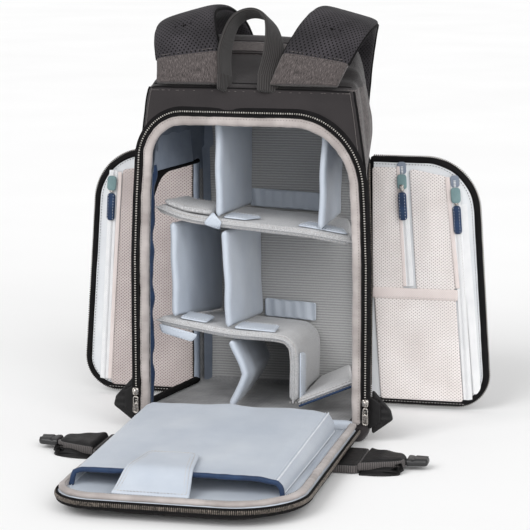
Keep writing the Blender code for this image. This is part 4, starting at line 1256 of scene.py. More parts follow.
def flap_panel():
    outline = rounded([(-FLAP_HALF, 0.004), (FLAP_HALF, 0.004), (FLAP_HALF, FLAP_LENGTH),
                       (-FLAP_HALF, FLAP_LENGTH)], (0.012, 0.012, *FLAP_RADII), 16)
    Cloth().slab(outline, on_flap, -FLAP_THICKNESS, 0.0, 0.0050,
                 relief(-0.0016, 0.05, ((11, 16), 4.0, 0.0016)),
                 relief(-0.0010, 0.03, (20, 2.0, 0.0005)), 110, 90, (0, 1)).build(
        "flap_pad", "flap", "satin_lining", "satin", "nylon", stands_for=["flap_panel"])
    line = flap_edge(-0.0066)
    path = on_flap(*line.T, 0.0016 + wobble(line, 24, 4.0) * 0.0007)
    Cloth().ribbon(path, Z, 0.0046, 0.0034, 0.8, 20, ripple=[((110, 110, 60), 1.0, 0.0006)]).build(
        "flap_binding", "flap", "padded_binding", "binding", stands_for=["flap_trim"])
    Cloth().stitches(on_flap(*flap_edge(-0.0092).T, 0.0046), Z, 0.0013, 0.0020).build(
        "flap_binding_stitches", "flap", "padded_binding", "grey_thread")
    tape = Cloth().sweep(on_flap(*flap_edge(0.0004).T, -0.0052), Z, 0.0044, 0.0012, 0.6, 14)
    tape.tube(on_flap(*flap_edge(-0.0010).T, -0.0092), 0.0026, 12, [(70, 2.0, 0.0004)])
    tape.build("flap_zip_tape", "flap", "black_nylon", "tape")
    path = on_flap(*flap_edge(0.0018, 0.00225).T, -0.0054)
    along, ups = tangents(path), np.broadcast_to(Z, path.shape)
    outward = np.cross(along, ups)
    outward *= np.sign(np.sum(outward * (path - on_flap(0.0, 0.2, 0.0)), axis=1))[:, None]
    Cloth().scatter(STUD, path, along, outward, ups, (0.00075, 0.0011, 0.0026)).build(
        "flap_zip_teeth", "flap", "bronze_coil", "bronze", stands_for=["flap_zip"],
        merge=TEETH_MERGE)


def harness_pads():
    """Mesh pads on the panel's outer side, each with a bound edge."""
    left, right = low("lumbar_pad").x, high("lumbar_pad").x

    def channel(ab, away):
        return np.exp(-(np.abs(ab[..., 0]) / 0.010) ** 2) * 0.0035
    for name, pad_corners, radii in (
            ("back_pad", [(-0.110, 0.140), (0.110, 0.140), (0.102, 0.345), (-0.102, 0.345)],
             (0.02, 0.02, 0.05, 0.05)),
            ("lumbar_pad", [(left, 0.050), (right, 0.050), (right, 0.132), (left, 0.132)], 0.006)):
        outline = rounded(pad_corners, radii, 10)
        Cloth().slab(outline, on_flap, -FLAP_Z + 0.0003, -FLAP_THICKNESS - 0.0002, 0.0048,
                     bottom=channel, rows=60, columns=60, slots=(0, 1)).build(
            name + "_mesh", "flap", "air_mesh", "nylon", "air_mesh", stands_for=[name])
        path = on_flap(*loop_of(outline, 0.003).T, -(FLAP_Z + FLAP_THICKNESS) / 2)
        Cloth().sweep(path, Z, 0.0044, 0.0012, 0.6, 14).build(name + "_binding", "flap", "webbing",
                                                              "edging")


def sleeve_row(b, shares):
    """One line across the sleeve's top face, as across, along and height."""
    root = step_up(b, SLEEVE_START - 0.001, SLEEVE_START + 0.016)
    turn = 0.024 * (1 - math.sqrt(1 - (1 - min((b - SLEEVE_START) / 0.024, 1)) ** 2))
    start = SLEEVE_CENTRE - SLEEVE_HALF + turn * 0.3
    end = SLEEVE_CENTRE + SLEEVE_HALF - 0.005 - turn * 0.5
    full = 0.026 - 0.007 * ramp_to(b - SLEEVE_START, 0.30)
    arch = np.interp(shares, (0, 0.012, 0.05, 0.5, 0.92, 1.0), (0.0, 0.80, 0.97, 1.04, 1.0, 0.86))
    ab = np.column_stack([start + (end - start) * shares, np.full(len(shares), b)])
    folds = waves(ab, ((26, 10), 7.0, 0.0020), ((60, 14), 2.0, 0.0007), (9, 3.0, 0.0022))
    return at_level(ab, full * arch * (0.12 + 0.88 * root)
                    + folds * np.sin(math.pi * shares) * root)


def sleeve():
    """Puffy laptop sleeve: an arched top face, piped walls and a bound mouth."""
    marks = SLEEVE_START + (SLEEVE_MOUTH - SLEEVE_START) * spread(90, 0.35)
    rows = np.array([sleeve_row(b, spread(64, 0.5)) for b in marks])
    a, b, h = np.moveaxis(rows, -1, 0)
    top, inside = on_flap(a, b, h), on_flap(a, b, np.maximum(h - 0.0022, 0.0004))
    drop = np.linspace(0, 1, 12)
    bulge = np.sin(math.pi * drop)
    wall = []
    for x, y, z in rows[:, -1]:
        run = wobble(np.column_stack([np.full(12, y), drop * 0.05]), 30, 5.0) * 0.0012
        wall.append(np.column_stack([x + 0.0070 * drop * min(1, z / 0.02) + bulge * 0.0030,
                                     np.full(12, y), z * (1 - drop) + 0.0008 + run * bulge]))
    wall = np.array(wall)
    root = [on_flap(a[0], b[0], h[0] + 0.0006), on_flap(a[0], b[0] - 0.004, 0.0006)]
    sheet = Cloth().grid(top).grid(inside).grid([top[-1], inside[-1]])
    sheet.grid(on_flap(*np.moveaxis(wall, -1, 0))).grid(root)
    sheet.build("sleeve_cloth", "flap", "satin_lining", "satin", stands_for=["laptop_sleeve"])

    piping, thread = Cloth(), Cloth()
    for line, shift, rise in ((wall[:, 0], -0.0034, 0.0008), (wall[:, -1], 0.0030, 0.0)):
        piping.tube(evenly(on_flap(*(line + (0, 0, 0.0003)).T), 0.003), 0.0010)
        thread.stitches(on_flap(*(line + (shift, 0, rise)).T), Z, 0.0024, 0.0014)
    piping.build("sleeve_piping", "flap", "satin_lining", "blue_thread")
    thread.stitches(on_flap(*flap_edge(-0.0150).T, 0.0006), Z, 0.0026, 0.0014)
    thread.build("flap_stitches", "flap", "satin_lining", "blue_thread")

    line = np.vstack([[(a[-1, 0] - 0.0008, SLEEVE_MOUTH + 0.001, 0.0018)],
                      UPRIGHT(a[-1], h[-1], SLEEVE_MOUTH + 0.0012),
                      [(wall[-1, 4, 0], SLEEVE_MOUTH + 0.001, wall[-1, 4, 2]),
                       (wall[-1, 10, 0], SLEEVE_MOUTH + 0.001, wall[-1, 10, 2] + 0.0012)]])
    path = evenly(on_flap(*(line - (0, 0, 0.0010)).T), 0.003)
    Cloth().sweep(path, (0, 1.0, 0.12), 0.0030, 0.0028, 0.8, 16, [(70, 2.0, 0.0004)]).build(
        "sleeve_mouth_binding", "flap", "navy_trim", "navy", stands_for=["sleeve_binding"])


def sleeve_tab():
    """Closure tab that folds over the sleeve's mouth."""
    line = ((0.3625, 0.0026), (0.352, 0.0070), (0.340, 0.0135), (0.330, 0.0192), (0.320, 0.0228),
            (0.300, 0.0238), (0.262, 0.0246))
    path = evenly(smooth([on_flap(-0.024, b, h) for b, h in line], 8), 0.003)
    place, run = carry(path, np.broadcast_to(X, path.shape))
    outline = rounded([(-0.044, 0.0), (0.044, 0.0), (0.030, run), (-0.030, run)],
                      (0.002, 0.002, 0.010, 0.010), 10)
    Cloth().slab(outline, place, -0.0010, 0.0022, 0.0018, relief(0.0010, 0.010, TAB_WAVES),
                 rows=50, columns=36).build("sleeve_tab_cloth", "sleeve_tab", "satin_lining",
                                            "satin", stands_for=["sleeve_tab"])
    thread = Cloth()
    for inset in (0.0040, 0.0075):
        inner = rounded([(-0.044 + inset, 0.004), (0.044 - inset, 0.004),
                         (0.030 - inset, run - inset), (-0.030 + inset, run - inset)],
                        (0.001, 0.001, 0.008, 0.008), 10)
        thread.stitches(place(*loop_of(inner, 0.002).T, 0.0027), Z, 0.0024, 0.0013, 0.0004)
    thread.build("sleeve_tab_stitches", "sleeve_tab", "satin_lining", "pale_thread")


# Side doors

def on_door(side):
    """Place function of a door's inner face: along from its hinge, height, and outwards."""
    return plane((side * DOOR_X, DOOR_FACE, 0), side * X, Z, -Y)


def door_shape(offset, steps):
    end, top_end = DOOR_END + offset, DOOR_TOP_END + offset
    bottom, top = DOOR_LOW - offset, DOOR_TOP + offset
    return rounded([(0.0008, bottom), (end, bottom), (top_end, top), (0.0008, top)],
                   (0.004, 0.042 + offset, 0.070 + offset, 0.004), steps)


def door_rim(offset, step=0.003):
    line = door_shape(offset, 20)[21:-21]
    return evenly([(0.006, DOOR_LOW - offset)] + line + [(0.006, DOOR_TOP + offset)], step)


def door_tape(name, side, ends, half, thick, paint, slot, rise, stands_for=()):
    """Flat tape between two points of a door's inner face."""
    path = on_door(side)(*evenly(ends, 0.003).T, rise + thick)
    Cloth().ribbon(path, -Y, half, thick, 0.5, 14, ripple=[(40, 3.0, 0.0003)]).build(
        name, DOORS[side], slot, paint, stands_for=stands_for)


def door_threads(side, lines):
    """Stitching between pairs of points of a door's inner face."""
    thread = Cloth()
    for ends in lines:
        thread.stitches(on_door(side)(*evenly(ends, 0.003).T, 0.0046), -Y, 0.0024, 0.0014, 0.0003)
    thread.build("door_pocket_stitches_" + dict(SIDES)[side], DOORS[side], "pale_mesh",
                 "pale_thread")


def white_zip(word, side, top, bottom):
    """White tape with its own fine teeth."""
    door_tape("pocket_zip_tape_" + word, side, [top, bottom], 0.0058, 0.0007, "white_tape",
              "white_zip", 0.0012, ["pocket_zip_" + word])
    path = on_door(side)(*evenly([top, bottom], 0.0019).T, 0.0030)
    Cloth().teeth(path, -Y, (0.0017, 0.0007, 0.0006)).build(
        "pocket_zip_teeth_" + word, DOORS[side], "white_zip", "white_tape", merge=TEETH_MERGE)


def door_tab(name, side, body, ends, half, paint, slot, rise, thick):
    """Small rounded cloth tab on a door, from one point to another."""
    top, bottom = np.array(ends)
    length = float(np.linalg.norm(bottom - top))
    run = (bottom - top) / length
    place = plane(on_door(side)(*top, rise), (-side * run[1], 0, run[0]), (side * run[0], 0, run[1]),
                  -Y)
    outline = rounded([(-half, 0), (half, 0), (half, length), (-half, length)], half * 0.7, 8)

    def soft(ab, away):
        return wobble(ab, 110, 3.0) * 0.0003 - np.exp(-((away - 0.0016) / 0.0005) ** 2) * 0.0003
    Cloth().slab(outline, place, 0.0, thick, thick * 0.6, soft, rows=30, columns=14).build(
        name, body, slot, paint)


def mesh_pocket(name, side, pocket_corners, radius, seed, stands_for=()):
    def puff(ab, away):
        fold = waves(ab, ((34, 13), seed, 0.0018), ((14, 40), seed + 3, 0.0008))
        return fold * ramp_to(away, 0.02) + ramp_to(away, 0.03) * 0.0010
    # The right door's pockets take the mesh painted lighter as painted light, the left door's the
    # copy painted darker as painted shade
    Cloth().slab(rounded(pocket_corners, radius, 8), on_door(side), 0.0004, 0.0030, 0.0022, puff,
                 rows=70, columns=44).build(
        name, DOORS[side], "pale_mesh", "mesh" if side > 0 else "mesh_with_painted_shade",
        stands_for=stands_for)


DOORS = {side: "door_" + word for side, word in SIDES}
HEMS = (("low", 1, [(0.007, 0.1520), (0.116, 0.1520)], 0.0072, 0.0009),
        ("side", 1, [(0.1010, 0.304), (0.1165, 0.162)], 0.0028, 0.0008),
        ("inner", 1, [(0.0375, 0.316), (0.0480, 0.162)], 0.0022, 0.0007),
        ("left", -1, [(0.1075, 0.298), (0.1250, 0.020)], 0.0026, 0.0008))


def door_panels():
    """Padded door panels with their bound rims."""
    middle = -DOOR_THICKNESS / 2
    for side, word in SIDES:
        body, place = DOORS[side], on_door(side)

        def soft(ab, away):
            return wobble(ab, (14, 9), 5.0 + side) * 0.0010 * ramp_to(away, 0.02)

        def back(ab, away):
            return (wobble(ab, (9, 12), 2.0 + side) * 0.0014 - 0.0010) * ramp_to(away, 0.02)
        Cloth().slab(door_shape(0.0, 14), place, -DOOR_THICKNESS, 0.0, 0.0034, soft, back, 90, 60,
                     (0, 1)).build("door_pad_" + word, body, "heather_weave", "white_lining",
                                   "heather_up", stands_for=["door_panel_" + word])
        path = place(*door_rim(-0.0034).T, middle + 0.0006)
        Cloth().ribbon(path, -Y, 0.0042, 0.0014 - middle, 0.75, 20,
                       ripple=[(60, 2.0, 0.0004)]).build("door_border_" + word, body,
                                                         "black_nylon", "tape")
        Cloth().stitches(place(*door_rim(-0.0090).T, 0.0012), -Y, 0.0024, 0.0014).build(
            "door_stitches_" + word, body, "black_nylon", "charcoal")
        Cloth().teeth(place(*door_rim(0.0014, 0.0026).T, middle), -Y, (0.0010, 0.0022, 0.0008)).build(
            "door_rim_teeth_" + word, body, "bronze_coil", "bronze", merge=TEETH_MERGE,
            stands_for=["door_zip_" + word])


def door_pockets():
    """Mesh pockets, their hems, zips and stitching."""
    mesh_pocket("mesh_pocket_inner", 1, [(0.006, 0.158), (0.047, 0.158), (0.036, 0.315),
                                         (0.004, 0.315)], 0.004, 2.0)
    mesh_pocket("mesh_pocket_outer", 1, [(0.063, 0.158), (0.114, 0.158), (0.100, 0.305),
                                         (0.052, 0.314)], 0.004, 5.0, ["door_pocket_upper"])
    mesh_pocket("mesh_pocket_low", 1, [(0.018, 0.012), (0.126, 0.012), (0.114, 0.148),
                                       (0.008, 0.148)], 0.004, 8.0, ["door_pocket_lower"])
    mesh_pocket("mesh_pocket_left", -1, [(0.006, 0.012), (0.124, 0.012), (0.104, 0.302),
                                         (0.004, 0.315)], 0.006, 11.0, ["door_pocket_left"])
    for word, side, ends, half, thick in HEMS:
        door_tape("pocket_hem_" + word, side, ends, half, thick, "hem", "pale_mesh", 0.0022)
    white_zip("inner", 1, (0.0425, 0.316), (0.0540, 0.162))
    white_zip("outer", 1, (0.1105, 0.300), (0.1320, 0.016))
    white_zip("left", -1, (0.1165, 0.300), (0.1330, 0.020))
    door_tape("door_band_outer", 1, [(0.1215, 0.270), (0.1440, 0.024)], 0.0052, 0.0006,
              "white_tape", "white_zip", 0.0006)
    door_threads(1, ([(0.010, 0.0100), (0.126, 0.0100)], [(0.010, 0.1475), (0.113, 0.1475)],
                     [(0.0985, 0.300), (0.1140, 0.164)], [(0.1160, 0.268), (0.1385, 0.024)]))
    door_threads(-1, ([(0.010, 0.0100), (0.124, 0.0100)], [(0.1045, 0.296), (0.1218, 0.020)]))
    for word, ends in (("inner", [(0.0420, 0.3225), (0.0428, 0.3065)]),
                       ("outer", [(0.1100, 0.3070), (0.1115, 0.2915)])):
        door_tab("zip_stop_" + word, 1, "door_right", ends, 0.0058, "grey_blue_and_painted_shade_satin", "satin_lining",
                 0.0016, 0.0016)


def box_pad(name, node, paint, slot, grow, round_share):
    """Rounded piece that fills a small CAD part's own outline, however it is turned."""
    points = np.array([tuple(v.co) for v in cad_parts[node].data.vertices])
    centre = points.mean(axis=0)
    values, vectors = np.linalg.eigh(np.cov((points - centre).T))
    axes = vectors[:, np.argsort(values)[::-1]].T
    spans = (points - centre) @ axes.T
    start, end = spans.min(axis=0) - grow, spans.max(axis=0) + grow
    _, width, depth = end - start
    outline = rounded([(start[1], start[0]), (end[1], start[0]), (end[1], end[0]),
                       (start[1], end[0])], width * round_share, 8)
    place = plane(centre, axes[1], axes[0], axes[2])
    Cloth().slab(outline, place, start[2], end[2], depth * 0.55, relief(0, 1, (120, 3.0, 0.0003)),
                 rows=26, columns=14).build(name, node, slot, paint, stands_for=[node])
    return place, start, end


def pocket_hardware():
    """Sliders, their cloth guards and the sewn pulls of the pocket zips."""
    for word, side, ends in (("left", -1, [(0.1172, 0.2935), (0.1188, 0.2740)]),
                             ("inner", 1, [(0.0428, 0.3070), (0.0440, 0.2875)]),
                             ("outer", 1, [(0.1118, 0.2920), (0.1134, 0.2720)])):
        slider, puller = "pocket_slider_" + word, "pocket_pull_" + word
        box_pad("slider_" + word, slider, "silver", "silver_metal", 0.0, 0.3)
        door_tab("slider_guard_" + word, side, slider, ends, 0.0062, "teal", "navy_trim", 0.0048,
                 0.0030)
        place, start, end = box_pad("pull_" + word, puller, "navy", "navy_trim", 0.0012, 0.4)
        thread = Cloth()
        for edge in (-0.62 * end[1], 0.62 * end[1]):
            line = evenly([(edge, start[0] + 0.003), (edge, end[0] - 0.003)], 0.002)
            for way, depth in ((-1, start[2] - 0.0001), (1, end[2] + 0.0001)):
                up = place(0, 0, way) - place(0, 0)
                thread.stitches(place(*line.T, depth), up, 0.0020, 0.0013, 0.00025)
        thread.build("pull_stitches_" + word, puller, "navy_trim", "blue_thread")


def main_hardware():
    """Metal sliders and pulls at the lower ends of the main zip."""
    for _, word in SIDES:
        slider, puller = "main_slider_" + word, "main_pull_" + word
        lower, upper = low(slider), high(slider)
        bottom, top = lower.z, upper.z
        place = plane(((lower.x + upper.x) / 2, upper.y, 0), X, Z, -Y)
        outline = rounded([(-0.0036, bottom), (0.0036, bottom), (0.0048, top - 0.001),
                           (-0.0048, top - 0.001)], (0.0020, 0.0020, 0.0030, 0.0030), 8)
        bridge = [(bottom + 0.0005, 0.0034), (bottom + 0.003, 0.0062), (top - 0.004, 0.0062),
                  (top - 0.0015, 0.0034)]
        body = Cloth().slab(outline, place, 0.0, 0.0034, 0.0016, relief(0.0008, 0.003), rows=24,
                            columns=16)
        body.sweep(smooth([place(0, b, h) for b, h in bridge], 6), X, 0.0013, 0.0007, 0.7, 10)
        body.build("zip_slider_" + word, slider, "silver_metal", "silver", stands_for=[slider])
        middle = (low(puller) + high(puller)) / 2
        reach = high(puller).z - low(puller).z
        place = plane((middle.x, middle.y, low(puller).z), X, Z, -Y)
        ring = rounded([(-0.0030, 0.0), (0.0030, 0.0), (0.0026, reach), (-0.0026, reach)], 0.0022, 8)
        plate = rounded([(-0.0024, 0.001), (0.0024, 0.001), (0.0020, reach * 0.62),
                         (-0.0020, reach * 0.62)], 0.0012, 6)
        Cloth().tube(place(*loop_of(ring, 0.0008).T), 0.0009, 10).slab(
            plate, place, -0.0008, 0.0008, 0.0006).build(
            "zip_pull_" + word, puller, "silver_metal", "silver", stands_for=[puller])


# Shoulder straps, handle, hip belt

STRAP_LINE = ((0.077, -0.087, 0.462), (0.088, -0.062, 0.488), (0.096, -0.028, 0.505),
              (0.097, 0.016, 0.509), (0.092, 0.062, 0.505), (0.083, 0.103, 0.486),
              (0.075, 0.128, 0.448), (0.071, 0.139, 0.395), (0.069, 0.142, 0.330),
              (0.068, 0.142, 0.262))
STRAP_ROOTS = {-1: 0.074, 1: 0.066}
STRAP_SEAM = 0.034  # where the heather end is sewn to the mesh
STRAP_TACKS = (0.082, 0.250)


def strap_half(share):
    return 0.040 * np.interp(share, (0, 0.25, 0.6, 1), (1.03, 0.94, 0.86, 0.62))


def strap_place(side):
    """Place function along a strap, and the strap's length."""
    root = (side * STRAP_ROOTS[side], NEAR_Y + 0.001, SEAM_Z + 0.0050)
    path = smooth([root] + [(side * x, y, z) for x, y, z in STRAP_LINE], 10)
    share = np.linspace(0, 1, len(path))
    roll = math.radians(16) * np.sin(math.pi * np.minimum(share / 0.7, 1.0))
    sides = np.column_stack([side * np.cos(roll), np.zeros(len(path)), -np.sin(roll)])
    both = evenly(np.hstack([path, sides]), 0.003)
    return carry(both[:, :3], both[:, 3:], square=False)


def strap_pad(side, word, place, run):
    """Padded strap with a seam, two sewn-down tacks and soft waves."""
    around = 52
    marks = run * spread(130, 0.3)
    angle = np.linspace(0, 2 * math.pi, around, endpoint=False)
    c, s = np.cos(angle), np.sin(angle)
    a_unit, h_unit = np.sign(c) * np.abs(c) ** 0.42, np.sign(s) * np.abs(s) ** 0.55
    a = strap_half(marks / run)[:, None] * a_unit
    b = np.repeat(marks[:, None], around, 1)
    swell = wobble(np.stack([a, b], -1), (22, 15), 4.0 + side) * 0.0013
    h = 0.0080 * h_unit + swell * np.sign(h_unit)
    for tack in STRAP_TACKS:
        h = h - np.exp(-((b - tack) / 0.0055) ** 2 - (a / 0.010) ** 2) * 0.0024 * (h_unit > 0)
    h = h - np.exp(-((b - STRAP_SEAM) / 0.0022) ** 2) * 0.0014 * (h_unit > 0)
    steps = [np.abs(np.diff(np.append(x, x[0]))) for x in (a_unit, h_unit)]
    arc = np.concatenate([[0], np.cumsum(steps[0] + steps[1] * 0.15)]) * 0.040
    strap = Cloth().grid(place(a, b, h), (marks[:-1] > STRAP_SEAM).astype(int)[:, None], wrap=True,
                         uv=np.meshgrid(marks, arc, indexing="ij"))
    for end, slot in ((0, 0), (-1, 1)):
        ring = place(a[end], b[end], h[end])
        strap.grid([ring + (ring.mean(axis=0) - ring) * share for share in (0, 0.35, 0.7, 0.999)],
                   slot, wrap=True)
    return strap.build("strap_pad_" + word, "shoulder_strap_" + word, "air_mesh", "heather",
                       "air_mesh", stands_for=["shoulder_strap_" + word])


def strap_adjuster(word):
    """Moulded ladder buckle on a strap's end."""
    node = "strap_buckle_" + word
    lower, middle = low(node), (low(node) + high(node)) / 2
    half, tall = (high(node).x - lower.x) / 2, high(node).z - lower.z
    place = plane((middle.x, middle.y, lower.z), X, Z, Y)
    outline = rounded([(-half, 0.0), (half, 0.0), (half * 0.9, tall), (-half * 0.9, tall)], 0.004, 8)
    buckle = Cloth().slab(outline, place, -0.0030, 0.0022, 0.0022, rows=30, columns=26)
    for rise in (0.26, 0.50, 0.74):
        bar = evenly([(-half * 0.78, rise * tall), (half * 0.78, rise * tall)], 0.004)
        buckle.sweep(place(*bar.T, 0.0022), Z, 0.0019, 0.0014, 0.7, 10)
    buckle.build("strap_adjuster_" + word, "shoulder_strap_" + word, "black_plastic", "plastic",
                 stands_for=[node])


def shoulder_straps():
    for side, word in SIDES:
        body = "shoulder_strap_" + word
        place, run = strap_place(side)
        tree = tree_of(strap_pad(side, word, place, run))
        marks = np.linspace(0.036, run - 0.001, 150)
        edges, thread = Cloth(), Cloth()
        for edge in (-1, 1):
            edges.tube(evenly(place(edge * strap_half(marks / run), marks), 0.003), 0.0018, 10,
                       [(60, 2.0, 0.0003)])
        for b in (0.0305, 0.0372):
            line = place(np.linspace(-0.031, 0.031, 40), np.full(40, b), 0.0060)
            thread.stitches(*onto(tree, line), 0.0026, 0.0014, 0.0003)
        edges.build("strap_edging_" + word, body, "black_nylon", "tape")
        line = place(np.linspace(-0.0105, 0.0105, 16), np.full(16, STRAP_TACKS[0]), 0.0050)
        Cloth().stitches(*onto(tree, line), 0.0009, 0.0001, 0.0017).build(
            "strap_bartack_" + word, body, "black_nylon", "tape")
        thread.build("strap_stitches_" + word, body, "black_nylon", "grey_thread")
        strap_adjuster(word)


HANDLE_X, HANDLE_HALF, HANDLE_HEIGHT, HANDLE_LEAN = -0.004, 0.027, 0.082, math.radians(25)


def handle_side(turn):
    """Direction across the handle's band where it is turned by a share of a right angle."""
    flat = np.sqrt(1 - turn ** 2)
    return np.stack([turn, flat * math.cos(HANDLE_LEAN), -flat * math.sin(HANDLE_LEAN)], axis=-1)


def grab_handle():
    """Webbing loop that leans back over the top, and its ends sewn into the seam."""
    line = ((-1.0, 0.0, 0.35), (-1.12, 0.42, 0.30), (-0.80, 0.86, 0.10), (0.0, 1.0, 0.0),
            (0.80, 0.86, 0.25), (1.12, 0.42, 0.75), (1.0, 0.0, 0.90))
    place = plane((HANDLE_X, NEAR_Y + 0.003, SEAM_Z + 0.014), HANDLE_HALF * X,
                  HANDLE_HEIGHT * np.array([0, math.sin(HANDLE_LEAN), math.cos(HANDLE_LEAN)]), Y)
    path = smooth([place(across, share) for across, share, _ in line], 14)
    turn = np.interp(np.linspace(0, 6, len(path)), range(7), [turn for _, _, turn in line])
    both = evenly(np.hstack([path, handle_side(turn)]), 0.0025)
    Cloth().sweep(both[:, :3], both[:, 3:], 0.0142, 0.0025, 0.45, 44, [(40, 2.0, 0.0004)]).build(
        "handle_webbing", "grab_handle", "webbing", "webbing", stands_for=["grab_handle"])
    for side, word in SIDES:
        points = [(HANDLE_X + HANDLE_HALF * side, NEAR_Y + y, SEAM_Z + z) for y, z in (
            (-0.0005, -0.0015), (0.0010, 0.004), (0.0022, 0.010), (0.0034, 0.0155))]
        turn = line[0][2] if side < 0 else line[-1][2]
        Cloth().sweep(evenly(smooth(points, 6), 0.002), handle_side(turn), 0.0138, 0.0029, 0.45,
                      30).build("handle_foot_" + word, "pack", "webbing", "webbing")


def anchors():
    """Folded webbing wings at the lower corners."""
    outline = rounded([(0.0006, 0.010), (0.027, 0.030), (0.0240, 0.042), (0.0006, 0.068)],
                      (0.002, 0.004, 0.004, 0.002), 8)
    patch = rounded([(-0.004, 0.016), (0.012, 0.026), (0.012, 0.050), (-0.004, 0.060)], 0.002, 6)

    def fold(ab, away):
        lines = np.sin((ab[..., 1] - 0.036) * 2 * math.pi / 0.009) * 0.0004
        return lines * ramp_to(ab[..., 0], 0.01) + wobble(ab, 50, 6.0) * 0.0010
    for side, word in SIDES:
        place = plane((side * 0.150, NEAR_Y + 0.0105, 0), side * X, Z, -Y)
        Cloth().slab(outline, place, -0.0005, 0.0032, 0.0018, fold, rows=40, columns=26).slab(
            patch, place, 0.0026, 0.0052, 0.0014, rows=24, columns=16).build(
            "strap_wing_" + word, "pack", "webbing", "nylon", stands_for=["strap_anchor_" + word])
        thread = Cloth()
        for ends in ([(0.002, 0.019), (0.020, 0.031)], [(0.002, 0.060), (0.019, 0.041)]):
            thread.stitches(place(*evenly(ends, 0.002).T, 0.0050), -Y, 0.0022, 0.0012, 0.0003)
        thread.build("strap_wing_stitches_" + word, "pack", "webbing", "charcoal")


def belt_wing(side, word):
    """Padded wing of the hip belt with ribbed edging and stowed webbing."""
    body = "hip_belt_" + word
    near, far, tall = low(body).y, high(body).y, high(body).z
    reach = high(body).x - low(body).x
    root = low(body).x if side > 0 else high(body).x
    place = plane((root, 0, 0), side * X, Y, Z)

    def puff(ab, away):
        fold = np.sin(ab[..., 0] * 2 * math.pi / 0.021 + 1.0) * 0.0004
        return ramp_to(away, 0.012) * 0.0014 + fold + wobble(ab, 32, 4.0 + side) * 0.0011
    outline = rounded([(0.0, near), (reach, near + 0.020), (reach, far - 0.022), (0.0, far)],
                      (0.003, 0.012, 0.012, 0.003), 10)
    Cloth().slab(outline, place, 0.0005, tall - 0.0006, 0.0060, puff, rows=50, columns=46,
                 slots=(0, 1)).build("belt_wing_" + word, body, "black_nylon", "nylon", "air_mesh",
                                     stands_for=[body])
    line = smooth([(0.0, near - 0.0006), (reach * 0.45, near + 0.0072),
                   (reach - 0.006, near + 0.0170), (reach - 0.001, near + 0.0260)], 10)
    Cloth().sweep(place(*evenly(line, 0.002).T, tall * 0.58), Z, 0.0046, 0.0020, 0.6, 14).build(
        "belt_edging_" + word, body, "webbing", "edging")
    webbing = Cloth()
    for start, end, y, rise in ((0.002, 0.044, near + 0.001, 0.0022),
                                (0.008, 0.047, near + 0.008, 0.0050)):
        line = np.array([(start, y, rise), ((start + end) / 2, y - 0.001, rise + 0.0018),
                         (end - 0.003, y + 0.007, rise), (end, y + 0.010, rise + 0.0020),
                         (end - 0.003, y + 0.012, rise + 0.0044)])
        webbing.sweep(evenly(smooth(place(*line.T), 8), 0.0025), (0, 1.0, 0.25), 0.0085, 0.0011,
                      0.5, 14, [(50, 2.0, 0.0003)])
    webbing.build("belt_webbing_" + word, body, "black_nylon", "nylon")


def belt_clip(side, word):
    """Moulded buckle half at a wing's end."""
    node = "belt_buckle_" + word
    lower, upper = low(node), high(node)
    start = lower.x if side > 0 else upper.x
    length, middle, half = upper.x - lower.x, (lower.y + upper.y) / 2, (upper.y - lower.y) / 2
    place = plane((start, 0, lower.z), side * X, Y, Z)

    def ridge(ab, away):
        step = np.exp(-((ab[..., 0] - length * 0.34) / 0.0010) ** 2) * 0.0012
        return ramp_to(away, 0.004) * 0.0006 - step
    outline = rounded([(0.0, middle - half * 0.92), (length, middle - half * 0.62),
                       (length, middle + half * 0.62), (0.0, middle + half * 0.92)],
                      (0.003, 0.005, 0.005, 0.003), 8)
    buckle = Cloth().slab(outline, place, 0.0004, 0.0082, 0.0028, ridge, rows=34, columns=30)
    for offset in (-0.5, 0.5):
        bar = evenly([(length * 0.42, middle + offset * half),
                      (length * 0.92, middle + offset * half * 0.8)], 0.003)
        buckle.sweep(place(*bar.T, 0.0082), Y, 0.0016, 0.0010, 0.7, 10)
    buckle.build("belt_clip_" + word, "hip_belt_" + word, "black_plastic", "plastic",
                 stands_for=[node])


# Cloth hinges

def hinge_cloth(name, rows, paint, slot):
    """Cloth strip laid between the bag and a moving panel in its rest shape; it is attached to no
    body.
    """
    piece = Cloth().grid(rows).build(name, None, slot, paint)
    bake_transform(piece)


def hinges():
    xs = np.linspace(-FLAP_HALF + 0.006, FLAP_HALF - 0.006, 50)
    rows = []
    for y, z in ((NEAR_Y + 0.004, BASE_TOP + 0.0012), (NEAR_Y - 0.0008, BASE_TOP + 0.0009),
                 (NEAR_Y - 0.0030, BASE_TOP - 0.0002), (FLAP_Y + 0.0010, FLAP_Z + 0.0010),
                 (FLAP_Y - 0.0030, FLAP_Z + 0.0006), (FLAP_Y - 0.0100, FLAP_Z + 0.0004),
                 (FLAP_Y - 0.0200, FLAP_Z + 0.0003)):
        sag = wobble(np.insert(xs[:, None], 1, y, axis=1), 20, 5.0) * 0.0004
        rows.append(UPRIGHT(xs, z + sag, y))
    hinge_cloth("flap_hinge_cloth", rows, "satin", "satin_lining")
    zs = np.linspace(DOOR_LOW + 0.024, DOOR_TOP - 0.004, 60)
    for side, word in SIDES:
        rows = []
        for along, y in ((-0.012, FAR_Y + 0.0006), (-0.007, FAR_Y + 0.0012),
                         (-0.003, FAR_Y + 0.0016), (0.0, FAR_Y + 0.0018),
                         (0.003, FAR_Y - 0.0004), (0.006, FAR_Y - 0.0012)):
            limit = side_x(FAR_Y, zs) if along < 0 else np.inf
            rows.append(UPRIGHT(side * np.minimum(DOOR_X + along, limit), zs, y))
        hinge_cloth("door_hinge_cloth_" + word, rows, "tape", "black_nylon")


# Floor, light and camera

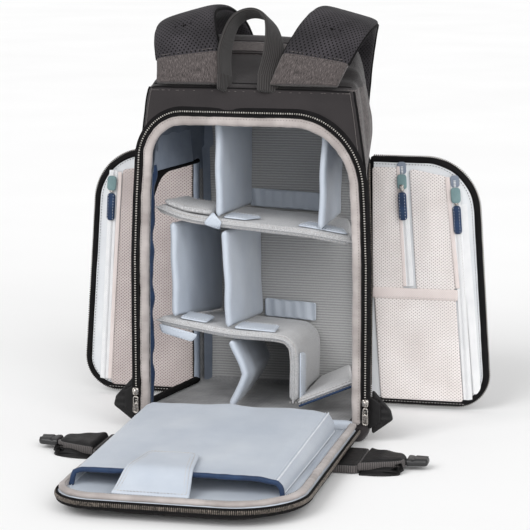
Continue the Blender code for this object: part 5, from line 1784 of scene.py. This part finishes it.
WORLD_LIGHT = 0.56
LIGHTS = (("key_light", (-1.6, -3.0, 2.6), 36, 1.50),
          ("fill_light", (2.1, -2.8, 1.9), 50, 1.48))
FLOOR_HALF = 60
VIEW_AZIMUTH, VIEW_ELEVATION = math.radians(12.8), math.radians(10.0)
VIEW_DISTANCE = 2.77
VIEW_TARGET = Vector((-0.003, 0, 0.199))
SENSOR_WIDTH = 36
FOCAL_LENGTH = SENSOR_WIDTH * 220 / 53


def floor():
    half = FLOOR_HALF
    mesh = bpy.data.meshes.new("floor")
    mesh.from_pydata([(-half, -half, 0), (half, -half, 0), (half, half, 0), (-half, half, 0)], [],
                     [(0, 1, 2, 3)])
    pale = Paint("floor_white", 0.95, kind="Object", specular=0.0)
    pale.colour(pale.patchy(pale.noise(size=2, detail=2), "f4f4f4", "f7f7f7", 0.3))
    mesh.materials.append(pale.material)
    shown(bpy.data.objects.new("floor", mesh))


def lights():
    world = bpy.data.worlds.new("studio")
    world.use_nodes = True
    background = world.node_tree.nodes["Background"]
    background.inputs["Color"].default_value = (1, 1, 1, 1)
    background.inputs["Strength"].default_value = WORLD_LIGHT
    bpy.context.scene.world = world
    for name, place, softness, power in LIGHTS:
        light = bpy.data.lights.new(name, "SUN")
        light.angle = math.radians(softness)
        light.energy = power
        lamp = shown(bpy.data.objects.new(name, light))
        lamp.location = place
        lamp.rotation_euler = Vector(place).to_track_quat("Z", "Y").to_euler()
    bpy.context.scene.view_settings.view_transform = "Standard"


def camera():
    level = math.cos(VIEW_ELEVATION)
    away = Vector((level * math.sin(VIEW_AZIMUTH), -level * math.cos(VIEW_AZIMUTH),
                   math.sin(VIEW_ELEVATION)))
    lens = bpy.data.cameras.new("camera")
    lens.lens = FOCAL_LENGTH
    lens.sensor_width = SENSOR_WIDTH
    eye = shown(bpy.data.objects.new("camera", lens))
    eye.location = VIEW_TARGET + away * VIEW_DISTANCE
    eye.rotation_euler = away.to_track_quat("Z", "Y").to_euler()
    bpy.context.scene.camera = eye


shell = body_shell()
seams(shell)
top_patch(shell)
opening_edge()
body_linings()
side_edges()
front_pocket()
dividers()
divider_tabs()
flap_panel()
harness_pads()
sleeve()
sleeve_tab()
door_panels()
door_pockets()
pocket_hardware()
main_hardware()
shoulder_straps()
grab_handle()
anchors()
for belt_side in SIDES:
    belt_wing(*belt_side)
    belt_clip(*belt_side)
hinges()
floor()
lights()
camera()
